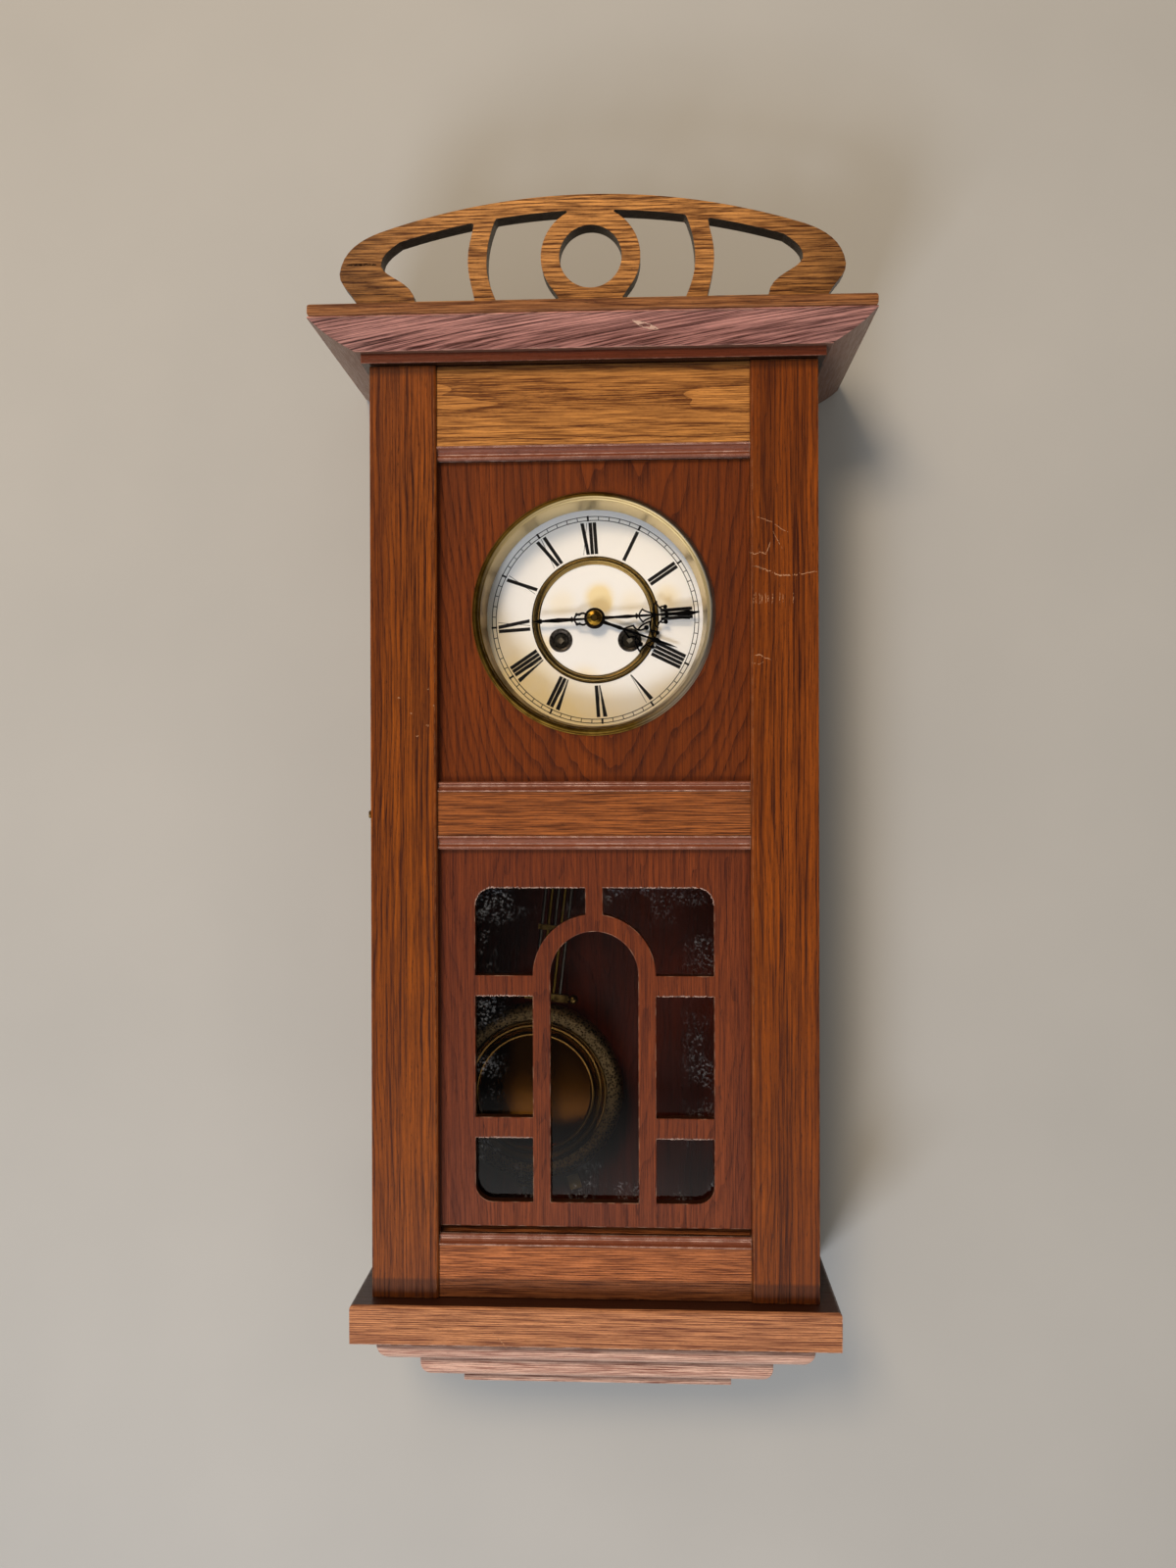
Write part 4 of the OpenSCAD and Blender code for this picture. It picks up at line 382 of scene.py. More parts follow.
# %% Every board's own oak
# The upper panel's grain nests round a point 190 mm above the dial. Places are in mm.
HEART = (12.0, float(dial[2]) * PER_M + 190)
X, Z = 0, 2
# bands of painted shade under the cornice's overhang and above the base's ledge, as an axis and two
# places in mm
UNDER_CORNICE, ABOVE_BASE = (Z, 13.5, 17.0), (Z, -601.0, -603.0)
STILE = dict(light="#9c5012", dark="#331004", pore="#220901", weights=(0.4, 0.55, 0.35), ring=2.3,
             wander=2.0, fine=1.15, stain="#56260e", sawn_and_shaded="#46200e")
RAIL = dict(grain="X", length=0.75, ring=1.5, wander=0.9, weights=(0.12, 0.85, 0.4), fine=1.5,
            patchy=0.2)
OAK = {
    "stile": dict(STILE, painted_shade=(UNDER_CORNICE, ABOVE_BASE)),
    "right stile": dict(STILE, light="#964a10", stain="#4c1e06",
                        painted_shade=(UNDER_CORNICE, ABOVE_BASE)),
    "top rail": dict(RAIL, light="#d8944a", dark="#542809", pore="#3c1b06", stain="#7c4a20",
                     painted_shade=(UNDER_CORNICE,)),
    "rail": dict(RAIL, light="#b66a34", dark="#451e09", pore="#331405", stain="#5e2e18"),
    "bottom rail": dict(RAIL, light="#cc7c48", dark="#4e200c", pore="#331405", stain="#6a3620",
                        painted_shade=(ABOVE_BASE,)),
    "upper panel": dict(light="#803c13", dark="#3c1606", pore="#240a03", stain="#481f10",
                        heart=HEART, arch=0.3, ring=3.4, wander=1.2,
                        weights=(0.25, 0.45, 0.42), fine=1.3),
    "fretted panel": dict(light="#84401f", dark="#3c160a", pore="#280d06", stain="#50241a",
                          sawn_and_shaded="#33180a", arch=0.1, ring=3.4, wander=3.0,
                          weights=(0.25, 0.6, 0.25), fine=1.4, wear_and_glint_colour="#c9a184",
                          wear_and_glint_share=(0.0, 0.7)),
    # the mouldings' pale edge colour and high share are a painted highlight, a thin glint along
    # each bead
    "moulding": dict(RAIL, light="#8c4c30", dark="#4a2218", pore="#2c120c", stain="#5c302a",
                     weights=(0.1, 0.4, 0.2), rough=0.12, wear_and_glint_colour="#f2cab6", wear_and_glint_share=(0.4, 1.0)),
    "fillet": dict(RAIL, light="#6a3420", dark="#34160c", pore="#200c06", stain="#4a2018",
                   weights=(0.1, 0.4, 0.2), rough=0.14, wear_and_glint_colour="#c48a70", wear_and_glint_share=(0.2, 0.6)),
    # the cornice's pale pink light colour is partly painted sheen, the violet-pink gleam along the
    # bevel, as well as the wood's tone
    "cornice": dict(RAIL, light="#eaa492", dark="#46211b", pore="#2c140f", stain="#7e463e",
                    sawn_and_shaded="#6e4c3c", wander=0.4, weights=(0.1, 0.95, 0.35), length=2.2, fine=1.9,
                    wear_and_glint_colour="#dcae98", seed=11.0, slant=6.0, deep=0.05),
    "cap": dict(RAIL, light="#a66e40", dark="#4f2813", pore="#35180a", stain="#6c3e22",
                wear_and_glint_colour="#cf9f7c"),
    # the crest is painted darker towards both ends, a painted fall-off of light, and its near-black
    # side faces are partly painted shade as well as stain-soaked end grain
    "crest": dict(RAIL, light="#da9852", dark="#4a240a", pore="#301504", length=0.5, fine=1.3,
                  stain="#7c4c24", sawn_and_shaded="#120702", painted_shade=((X, -100, -160), (X, 105, 165))),
    # the base's dark colour for faces square to the front is painted shade on its top face
    "base": dict(RAIL, light="#d89462", dark="#5a2a16", pore="#3c1a0c", stain="#8a5240", fine=1.9,
                 sawn_and_shaded="#34190e", wear_and_glint_colour="#f0c8b0", wear_and_glint_share=(0.1, 0.9)),
    # the steps' very pale pink light colour is partly painted sheen as well as the wood's tone
    "step": dict(RAIL, light="#ffd0b4", dark="#7c402a", pore="#4a2214", stain="#a86e5c", rough=0.22,
                 sawn_and_shaded="#2c160a", wear_and_glint_colour="#f4d0b8", wear_and_glint_share=(0.1, 0.8)),
    "side": dict(STILE, light="#6e3a1c", dark="#341708"),
    # the back board's very dark colour is partly painted shade, the dimness inside the case seen
    # through the windows, as well as a dark stain
    "back": dict(light="#461606", dark="#220802", pore="#140401", ring=5.0, wander=4.0, arch=0.05,
                 weights=(0.35, 0.3, 0.3), stain="#380e06"),
}
WOOD_OF = {
    "door_stile_left": "stile", "door_stile_right": "right stile", "door_rail_top": "top rail",
    "door_rail_middle": "rail", "door_rail_bottom": "bottom rail", "upper_panel": "upper panel",
    "fretted_panel": "fretted panel", "rail_mouldings": "moulding", "case_top": "fillet",
    "cornice_moulding": "cornice", "cornice_cap": "cap", "crest": "crest", "base_board": "base",
    "base_step_upper": "step", "base_step_middle": "step", "base_step_lower": "step",
    "case_side_left": "side", "case_side_right": "side", "back_board": "back",
}


def dress(node, material):
    """Gives a CAD node one material in place of its own."""
    mesh = nodes[node].data
    mesh.materials.clear()
    mesh.materials.append(material)


for number, (node, kind) in enumerate(WOOD_OF.items()):
    look = {"seed": number * 37.0, **OAK[kind]}
    if kind == "step":      # painted shadow in the corner under the board above
        top = float(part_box(node)[1][2]) * PER_M
        look["painted_shade"] = ((Z, top - 9.0, top - 6.0),)
    dress(node, stained_oak(f"stained oak, {node}", **look))
print(len(WOOD_OF), "boards dressed in oak")

# %% [markdown]
# ## Metals
# Brass left alone for a century is not one colour: a brown film of old lacquer comes and goes on
# it. One function mixes it in by noise and roughens where the film lies. On the bezel it also
# mixes in by place a painted reflection, grey towards the right, and a painted highlight, pale
# inside the front ring above and to the right. Its metallic value stays at 1 all over.

# %% Aged brass and steel
FRONT_RING = 0.0799     # inner radius of the bezel's front ring, metres


def aged_metal(name, bright, film, amount=0.5, rough=(0.18, 0.5), grit=220.0, bump=0.2, grey_reflection=None,
               pale_highlight=None):
    """A metal with a darker film over part of it. grit is the film's scale per metre. The first
    colour after bump is a painted reflection: a grey that the metal turns to towards the dial's
    right. The last is a painted highlight: a pale colour inside the bezel's front ring, above and
    to the right."""
    material, tree = blank_material(name)
    place = add(tree, "ShaderNodeTexCoord").outputs["Object"]
    blot = add(tree, "ShaderNodeTexNoise", {"Vector": place, "Scale": grit, "Detail": 6.0,
                                            "Roughness": 0.6})
    wide = add(tree, "ShaderNodeTexNoise", {"Vector": place, "Scale": grit / 9, "Detail": 2.0})
    both = add(tree, "ShaderNodeMath", {0: blot.outputs["Fac"], 1: wide.outputs["Fac"]},
               operation="ADD")
    mask = add(tree, "ShaderNodeMapRange", {"Value": both, "From Min": 1.15 - amount * 0.4,
                                            "From Max": 1.35 - amount * 0.4})
    colour = add(tree, "ShaderNodeMix", {"Factor": mask, 6: linear(bright), 7: linear(film)},
                 data_type="RGBA")
    if grey_reflection or pale_highlight:
        spoke = add(tree, "ShaderNodeVectorMath", {0: place, 1: tuple(float(v) for v in dial)},
                    operation="SUBTRACT")
    # painted reflection: the metal turns grey towards the dial's right
    if grey_reflection:
        aside = add(tree, "ShaderNodeVectorMath", {0: spoke, 1: (1.0, 0, 0.1)},
                    operation="DOT_PRODUCT")
        aside = add(tree, "ShaderNodeMapRange", {"Value": aside, "From Min": 0.02, "From Max": 0.09,
                                                 "To Max": 0.9})
        colour = add(tree, "ShaderNodeMix", {"Factor": aside, 6: colour, 7: linear(grey_reflection)},
                     data_type="RGBA")
    # painted highlight: pale inside the bezel's front ring, above and to the right
    if pale_highlight:
        flat = add(tree, "ShaderNodeVectorMath", {0: spoke, 1: (1, 0, 1)}, operation="MULTIPLY")
        radius = add(tree, "ShaderNodeVectorMath", {0: flat}, operation="LENGTH")
        inside = add(tree, "ShaderNodeMapRange",
                     {"Value": radius, "From Min": FRONT_RING + 0.2 * MM,
                      "From Max": FRONT_RING - 0.2 * MM})
        upward = add(tree, "ShaderNodeVectorMath", {0: flat, 1: (0.5, 0, 0.85)},
                     operation="DOT_PRODUCT")
        upward = add(tree, "ShaderNodeMapRange", {"Value": upward, "From Min": -0.035,
                                                  "From Max": 0.05})
        inside = add(tree, "ShaderNodeMath", {0: inside, 1: upward}, operation="MULTIPLY")
        colour = add(tree, "ShaderNodeMix", {"Factor": inside, 6: colour, 7: linear(pale_highlight)},
                     data_type="RGBA")
    surface = add(tree, "ShaderNodeMapRange",
                  {"Value": mask, "To Min": rough[0], "To Max": rough[1]})
    normal = add(tree, "ShaderNodeBump", {"Strength": bump, "Distance": 0.0001,
                                          "Height": blot.outputs["Fac"]})
    shader = add(tree, "ShaderNodeBsdfPrincipled", {"Base Color": colour, "Metallic": 1.0,
                                                    "Roughness": surface, "Normal": normal})
    add(tree, "ShaderNodeOutputMaterial", {"Surface": shader})
    return material


# the bezel's grey to the right is a painted reflection, and its pale colour above and to the right
# a painted highlight
bezel_brass = aged_metal("spun brass, tarnished", "#84682c", "#5c4416", 0.5, (0.34, 0.42),
                         grit=70.0, bump=0.0, grey_reflection="#e6dccb", pale_highlight="#dfca98")
ring_brass = aged_metal("turned brass, lacquered", "#a88c54", "#846a3c", 0.5, (0.22, 0.3),
                        grit=60.0, bump=0.0)
nut_brass = aged_metal("turned brass, rubbed", "#c9a040", "#8a6420", 0.3, (0.14, 0.26))
plate_brass = aged_metal("brass plate, dull", "#b08f4a", "#6f5526", 0.45, (0.3, 0.5), grit=120.0)
hinge_brass = aged_metal("brass strip, brown", "#a3834a", "#55401f", 0.6, (0.3, 0.55))
tool_steel = aged_metal("steel, oiled", "#8f8f8c", "#4b4642", 0.5, (0.25, 0.5))
worn_steel = aged_metal("steel, rubbed by the key", "#d2c6b0", "#8c7e6c", 0.3, (0.5, 0.7))
eyelet_iron = aged_metal("iron, browned", "#77706a", "#3a332c", 0.5, (0.35, 0.5), grit=500.0)
black_iron = aged_metal("iron, blacked", "#3a3836", "#241c17", 0.6, (0.45, 0.7), bump=0.5)
gong_steel = aged_metal("steel wire, blued", "#2c3350", "#2a221f", 0.4, (0.2, 0.45))
hand_steel = aged_metal("steel, blackened", "#17171a", "#2a2422", 0.5, (0.3, 0.5))
METAL_OF = {
    bezel_brass: ["bezel"],
    ring_brass: ["dial_ring"],
    nut_brass: ["hand_nut"],
    plate_brass: ["front_plate", "back_plate", "plate_pillars", "suspension_cock", "time_barrel",
                  "strike_barrel", "centre_wheel", "third_wheel", "escape_wheel", "minute_wheel",
                  "hour_wheel", "strike_wheel"],
    hinge_brass: ["case_hinge_leaves", "door_fittings", "door_hook", "pendulum_bars", "rating_nut"],
    worn_steel: ["time_arbor", "strike_arbor"],
    tool_steel: ["case_screws", "crutch", "pendulum_hook", "hammer", "dial_plate"],
    black_iron: ["hanging_plate", "movement_bracket", "gong_stand"],
    eyelet_iron: ["winding_eyelets"],
    gong_steel: ["gong"],
    hand_steel: ["minute_hand", "hour_hand"],
}
for metal, named in METAL_OF.items():
    for node in named:
        dress(node, metal)
print(sum(map(len, METAL_OF.values())), "pieces dressed in metal")

# %% Gridiron rods
# Steel and brass rods stand side by side, so the colour changes with the distance across the
# leaning pendulum, counted in rods from its middle line.
LEAN = math.radians(6.72)
ROD_PITCH = 0.0049
PIVOT = (0.0, float(dial[2]) + 0.062)     # x and z of the point that the pendulum leans about
material, tree = blank_material("steel and brass rods")
place = add(tree, "ShaderNodeTexCoord").outputs["Object"]
level = add(tree, "ShaderNodeMapping", {"Vector": place, "Rotation": (0, -LEAN, 0)})
x_across = add(tree, "ShaderNodeSeparateXYZ", {"Vector": level}).outputs[0]
pivot_x = PIVOT[0] * math.cos(LEAN) - PIVOT[1] * math.sin(LEAN)
count = add(tree, "ShaderNodeMath", {0: x_across, 1: 1 / ROD_PITCH, 2: -pivot_x / ROD_PITCH + 0.5},
            operation="MULTIPLY_ADD")
whole = add(tree, "ShaderNodeMath", {0: count}, operation="FLOOR")
odd = add(tree, "ShaderNodeMath", {0: whole, 1: 2.0}, operation="FLOORED_MODULO")
colour = add(tree, "ShaderNodeMix", {"Factor": odd, 6: linear("#8a8378"), 7: linear("#a8843c")},
             data_type="RGBA")
shader = add(tree, "ShaderNodeBsdfPrincipled", {"Base Color": colour, "Metallic": 1.0,
                                                "Roughness": 0.34})
add(tree, "ShaderNodeOutputMaterial", {"Surface": shader})
dress("pendulum_rods", material)
print(f"rods {ROD_PITCH * PER_M:.1f} mm apart, leaning {math.degrees(LEAN):.2f} degrees")

# %% [markdown]
# ## The bob
# The bob is a pressed brass disc. Its rim is matted with a punch, its cove is polished, and its
# middle is a dark lacquered dish. The radius from the bob's centre decides which finish a point
# gets, and a cell pattern gives the punch marks.

# %% Matted and polished brass of the bob
DISH_EDGE, COVE_EDGE = 0.0427, 0.0542     # radii where dish ends and matting starts, metres
material, tree = blank_material("pressed brass, lacquered and matted")
place = add(tree, "ShaderNodeTexCoord").outputs["Object"]
out_from = add(tree, "ShaderNodeVectorMath", {0: place, 1: tuple(float(v) for v in bob)},
               operation="SUBTRACT")
flatten = add(tree, "ShaderNodeVectorMath", {0: out_from, 1: (1, 0, 1)}, operation="MULTIPLY")
radius = add(tree, "ShaderNodeVectorMath", {0: flatten}, operation="LENGTH")
matted = add(tree, "ShaderNodeMapRange", {"Value": radius, "From Min": COVE_EDGE - 0.4 * MM,
                                          "From Max": COVE_EDGE + 0.4 * MM})
dish = add(tree, "ShaderNodeMapRange", {"Value": radius, "From Min": DISH_EDGE + 0.3 * MM,
                                        "From Max": DISH_EDGE - 0.3 * MM})
cells = add(tree, "ShaderNodeTexVoronoi", {"Vector": place, "Scale": 560.0})
blot = add(tree, "ShaderNodeTexNoise", {"Vector": place, "Scale": 60.0, "Detail": 5.0})
polish = add(tree, "ShaderNodeMix", {"Factor": blot.outputs["Fac"], 6: linear("#946e36"),
                                     7: linear("#5a4220")}, data_type="RGBA")
punched = add(tree, "ShaderNodeMapRange", {"Value": cells.outputs["Distance"], "From Min": 0.15,
                                           "From Max": 0.6})
grain = add(tree, "ShaderNodeMix", {"Factor": punched, 6: linear("#1c150d"), 7: linear("#9a805a")},
            data_type="RGBA")
colour = add(tree, "ShaderNodeMix", {"Factor": matted, 6: polish, 7: grain}, data_type="RGBA")
colour = add(tree, "ShaderNodeMix", {"Factor": dish, 6: colour, 7: linear("#744616")},
             data_type="RGBA")
rough = add(tree, "ShaderNodeMapRange", {"Value": matted, "To Min": 0.22, "To Max": 0.55})
dent = add(tree, "ShaderNodeMath", {0: cells.outputs["Distance"], 1: matted}, operation="MULTIPLY")
normal = add(tree, "ShaderNodeBump", {"Strength": 0.8, "Distance": 0.0004, "Height": dent})
shader = add(tree, "ShaderNodeBsdfPrincipled", {"Base Color": colour, "Metallic": 1.0,
                                                "Roughness": rough, "Normal": normal})
add(tree, "ShaderNodeOutputMaterial", {"Surface": shader})
dress("pendulum_bob", material)
print(f"bob: dish within {DISH_EDGE * PER_M:.1f} mm, matted beyond {COVE_EDGE * PER_M:.1f} mm")

# %% [markdown]
# ## The enamelled dial
# The dial is white enamel that has gone ivory. Damp has stained it tan above the hands and along
# its lower left edge, and the wide tan along the lower left is partly painted shade, the warm tint
# where the bezel shades the dial from the cool lamp. Each blot is soft and round, placed from the
# dial's centre and broken up by noise.

# %% Stained enamel


def blotted_enamel(name, blots):
    """Ivory enamel with tan blots, left by damp and at the lower left partly painted shade. They
    are listed as (x, z, radius, strength) in millimetres from the dial's centre: each is a soft
    round blot broken up by noise."""
    material, tree = blank_material(name)
    place = add(tree, "ShaderNodeTexCoord").outputs["Object"]
    local = add(tree, "ShaderNodeMapping", {"Vector": place, "Scale": (PER_M, 0, PER_M),
                                            "Location": (-dial[0] * PER_M, 0, -dial[2] * PER_M)})
    broken = add(tree, "ShaderNodeTexNoise", {"Vector": local, "Scale": 0.09, "Detail": 6.0,
                                              "Roughness": 0.6}).outputs["Fac"]
    total = 0.0
    for x, z, size, strength in blots:
        away = add(tree, "ShaderNodeVectorMath", {0: local, 1: (x, 0, z)}, operation="DISTANCE")
        soft = add(tree, "ShaderNodeMapRange", {"Value": away, "From Min": size, "From Max": 0.0,
                                                "To Max": strength},
                   interpolation_type="SMOOTHERSTEP")
        total = add(tree, "ShaderNodeMath", {0: total, 1: soft}, operation="ADD")
    streak = add(tree, "ShaderNodeMapRange", {"Value": broken, "From Min": 0.3, "From Max": 0.7,
                                              "To Min": 0.8, "To Max": 1.1})
    total = add(tree, "ShaderNodeMath", {0: total, 1: streak}, operation="MULTIPLY", use_clamp=True)
    colour = add(tree, "ShaderNodeMix", {"Factor": total, 6: linear("#fffdf7"),
                                         7: linear("#fde8b4")}, data_type="RGBA")
    shader = add(tree, "ShaderNodeBsdfPrincipled",
                 {"Base Color": colour, "Roughness": 0.3, "Coat Weight": 0.3})
    add(tree, "ShaderNodeOutputMaterial", {"Surface": shader})
    return material


# the two wide blots at the lower left are partly painted shade, the warm tint where the bezel
# shades the dial from the cool lamp
dress("chapter_ring", blotted_enamel("vitreous enamel, stained and shaded", [
    (-8, -96, 72, 1.2), (-64, -62, 76, 1.2), (51, 15, 16, 0.7), (60, -70, 44, 0.9),
    (-88, -6, 34, 0.7)]))
dress("dial_centre", blotted_enamel("vitreous enamel, centre", [
    (3, 16, 15, 1.8), (7, 10, 9, 0.9), (-8, -46, 20, 1.0), (-36, -18, 12, 0.8), (26, 11, 16, 0.4),
    (-24, 12, 16, 0.4)]))
dress("beat_plaque", matt("ivory celluloid, browned", "#8e7440", 0.5))
print("enamel on the chapter ring and the centre, celluloid on the plaque")

# %% [markdown]
# ## Printed numerals and minute track
# Numerals on such dials are transfers: thick strokes and hairlines, all drawn radially with their
# feet to the centre. Each stroke is a quadrilateral from one radius to another, so a numeral is
# a list of strokes with their offset at foot and head and their width.

# %% Numerals
TURN = 4.0                  # the ring has slipped round by this many degrees, anticlockwise
FOOT, HEAD = 46.6, 69.2     # radii of the numerals' feet and heads, mm
THICK, THIN = 2.5, 0.34     # widths of the thick strokes and the hairlines, mm
GAP = 2.9                   # distance between the middles of neighbouring strokes, mm
LIFT = 0.03                 # how far a mark stands in front of the face it lies on, mm
# each letter's strokes, as the offset at the foot and at the head, the width and the taper, and
# how far the next letter is from it, all in mm but the taper
LETTERS = {
    "I": ([(0.0, 0.0, THICK, 1.0)], GAP),
    "V": ([(2.4, 0.0, THICK * 1.2, 0.2), (2.8, 4.4, THIN, 1.0)], 3.4 + GAP / 2),
    "X": ([(2.9, 0.0, THICK, 1.0), (-0.4, 3.4, THIN, 1.0)], 2.9 + GAP),
}


def stroke(low, high, width, taper):
    """One stroke from offset low at the foot to offset high at the head, as four corners of
    (offset, height). Its foot is taper times as wide as its head."""
    half = width / 2
    return [(low - half * taper, 0.0), (low + half * taper, 0.0),
            (high + half, 1.0), (high - half, 1.0)]


def numeral(text):
    """The strokes of a Roman numeral, side by side and centred on nought."""
    shapes, x = [], 0.0
    for letter in text:
        strokes, onward = LETTERS[letter]
        shapes += [stroke(x + foot, x + head, width, taper) for foot, head, width, taper in strokes]
        x += onward
    offsets = [p[0] for s in shapes for p in s]
    centre = (min(offsets) + max(offsets)) / 2
    return [[(px - centre, pz) for px, pz in s] for s in shapes]


def on_dial(offset, radius, angle):
    """Places points of sideways offset and radius, in mm, at a clockwise angle from the top of
    the dial: x = r sin a + o cos a and z = r cos a - o sin a, a little in front of the enamel."""
    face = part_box("chapter_ring")[0][1]
    x = radius * np.sin(angle) + offset * np.cos(angle)
    z = radius * np.cos(angle) - offset * np.sin(angle)
    return np.column_stack([dial[0] + x * MM, np.full_like(x, face - LIFT * MM), dial[2] + z * MM])


def quads(name, corners, material, body):
    """A piece made of separate flat quadrilaterals whose corners come four by four, facing the
    viewer."""
    corners = np.asarray(corners).reshape(-1, 3)
    mesh = bpy.data.meshes.new(name)
    faces = np.arange(len(corners)).reshape(-1, 4)
    mesh.from_pydata(corners.tolist(), [], faces.tolist())
    mesh.materials.append(material)
    piece = bpy.data.objects.new(name, mesh)
    bpy.context.collection.objects.link(piece)
    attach(piece, body)
    print(name, len(faces), "faces")
    return piece


ink = matt("printing ink, fired", "#0c0b0d", 0.4, other="#1d1b1a", scale=900.0, detail=3.0)
HOURS = ["XII", "I", "II", "III", "IIII", "V", "VI", "VII", "VIII", "IX", "X", "XI"]
parts = []
for hour, text in enumerate(HOURS):
    shapes = np.array(numeral(text))
    angle = np.radians(hour * 30 - TURN)
    offset, height = shapes[..., 0].ravel(), shapes[..., 1].ravel()
    parts.append(on_dial(offset, FOOT + height * (HEAD - FOOT), angle))
# the record has no slot for ink, so both printed pieces take that of the dark winding eyelets
quads("numerals", np.concatenate(parts), ink, "case")

# %% Minute track
# Two fine circles with a tick for each minute between them, a longer one every five.
LINE = 0.56                    # width of the circles and of the short ticks, mm
TRACK_IN, TRACK_OUT = 70.7, 73.5     # radii of the two circles, mm
segments = np.radians(np.arange(360))


def circle_line(radius, width):
    """A thin ring as one quadrilateral per degree."""
    a, b = segments, np.roll(segments, -1)
    inner, outer = np.full(360, radius - width / 2), np.full(360, radius + width / 2)
    rows = [on_dial(0 * a, inner, a), on_dial(0 * b, inner, b),
            on_dial(0 * b, outer, b), on_dial(0 * a, outer, a)]
    return np.stack(rows, axis=1).reshape(-1, 3)


minutes = np.arange(60)
fifth = minutes % 5 == 0
width = np.where(fifth, 1.4, LINE)
inner = np.where(fifth, TRACK_IN - 0.5, TRACK_IN)
outer = np.where(fifth, TRACK_OUT + 0.6, TRACK_OUT)
turned = np.radians(minutes * 6 - TURN)
ticks = np.stack([on_dial(sign * width / 2, radius, turned)
                  for sign, radius in ((-1, inner), (1, inner), (1, outer), (-1, outer))], axis=1)
track = np.concatenate([circle_line(TRACK_OUT, LINE), circle_line(TRACK_IN, LINE),
                        ticks.reshape(-1, 3)])
quads("minute_track", track, ink, "case")

# %% [markdown]
# ## Glass
# Both panes are old drawn glass about two millimetres thick. Thin glass hardly bends what is
# behind it, so it is clear with a Fresnel reflection, and a whitish bloom of dust and old
# polish lies along its edges.

# %% Window and dial glass


def thin_glass(name, centre, reach, bloom):
    """Glass that lets light through, with a reflection by Fresnel, and bloom that grows past
    reach, in metres from the centre (half width, half height)."""
    material, tree = blank_material(name)
    place = add(tree, "ShaderNodeTexCoord").outputs["Object"]
    away = add(tree, "ShaderNodeVectorMath", {0: place, 1: tuple(float(v) for v in centre)},
               operation="SUBTRACT")
    size = add(tree, "ShaderNodeVectorMath", {0: away, 1: (1 / reach[0], 0, 1 / reach[1])},
               operation="MULTIPLY")
    size = add(tree, "ShaderNodeVectorMath", {0: size}, operation="ABSOLUTE")
    sides = add(tree, "ShaderNodeSeparateXYZ", {"Vector": size})
    most = add(tree, "ShaderNodeMath", {0: sides.outputs[0], 1: sides.outputs[2]},
               operation="MAXIMUM")
    rim = add(tree, "ShaderNodeMapRange", {"Value": most, "From Min": 0.72, "From Max": 1.05})
    speck = add(tree, "ShaderNodeTexNoise", {"Vector": place, "Scale": 520.0,
                                             "Detail": 3.0}).outputs["Fac"]
    speck = add(tree, "ShaderNodeMapRange", {"Value": speck, "From Min": 0.56, "From Max": 0.66})
    cloud = add(tree, "ShaderNodeTexNoise", {"Vector": place, "Scale": 45.0,
                                             "Detail": 4.0}).outputs["Fac"]
    cloud = add(tree, "ShaderNodeMapRange", {"Value": cloud, "From Min": 0.47, "From Max": 0.62})
    speck = add(tree, "ShaderNodeMath", {0: speck, 1: cloud}, operation="MULTIPLY")
    dust = add(tree, "ShaderNodeMath", {0: rim, 1: speck}, operation="MULTIPLY")
    dust = add(tree, "ShaderNodeMath", {0: dust, 1: bloom}, operation="MULTIPLY", use_clamp=True)
    clear = add(tree, "ShaderNodeBsdfTransparent", {"Color": (1, 1, 1, 1)})
    shine = add(tree, "ShaderNodeBsdfGlossy", {"Roughness": 0.02})
    # light is turned back only where it enters, because inside a thin pane it leaves as it came
    leaving = add(tree, "ShaderNodeNewGeometry").outputs["Backfacing"]
    entering = add(tree, "ShaderNodeMath", {0: 1.0, 1: leaving}, operation="SUBTRACT")
    fresnel = add(tree, "ShaderNodeFresnel", {"IOR": 1.52})
    turned_back = add(tree, "ShaderNodeMath", {0: fresnel, 1: entering}, operation="MULTIPLY")
    pane = add(tree, "ShaderNodeMixShader", {0: turned_back, 1: clear, 2: shine})
    white = add(tree, "ShaderNodeBsdfDiffuse", {"Color": linear("#a4a6a8")})
    dusty = add(tree, "ShaderNodeMixShader", {0: dust, 1: pane, 2: white})
    add(tree, "ShaderNodeOutputMaterial", {"Surface": dusty})
    return material


dress("window_glass", thin_glass("drawn glass, dusty", middle("window_glass"), (0.082, 0.108), 0.3))
dress("dial_glass", thin_glass("drawn glass, clean", middle("dial_glass"), (0.2, 0.2), 0.05))
print("middles of the panes:", middle("window_glass").round(4), middle("dial_glass").round(4))

# %% [markdown]
# ## Scratches and chipped edges
# Something hard was dragged over the right stile, and the stain came off with it. The fretsaw
# chipped the panel along the top of each window opening. A mark is a chain of thin dashes
# laid on the wood, and the nick in the cornice is one sliver. Modelled marks keep their place
# and stay sharp from near by, which a noise pattern could not do for marks that stand alone.

# %% Scratches
DASH, LEFT_OUT = 0.8, 0.3     # length of a dash, mm, and the share of them that is left out


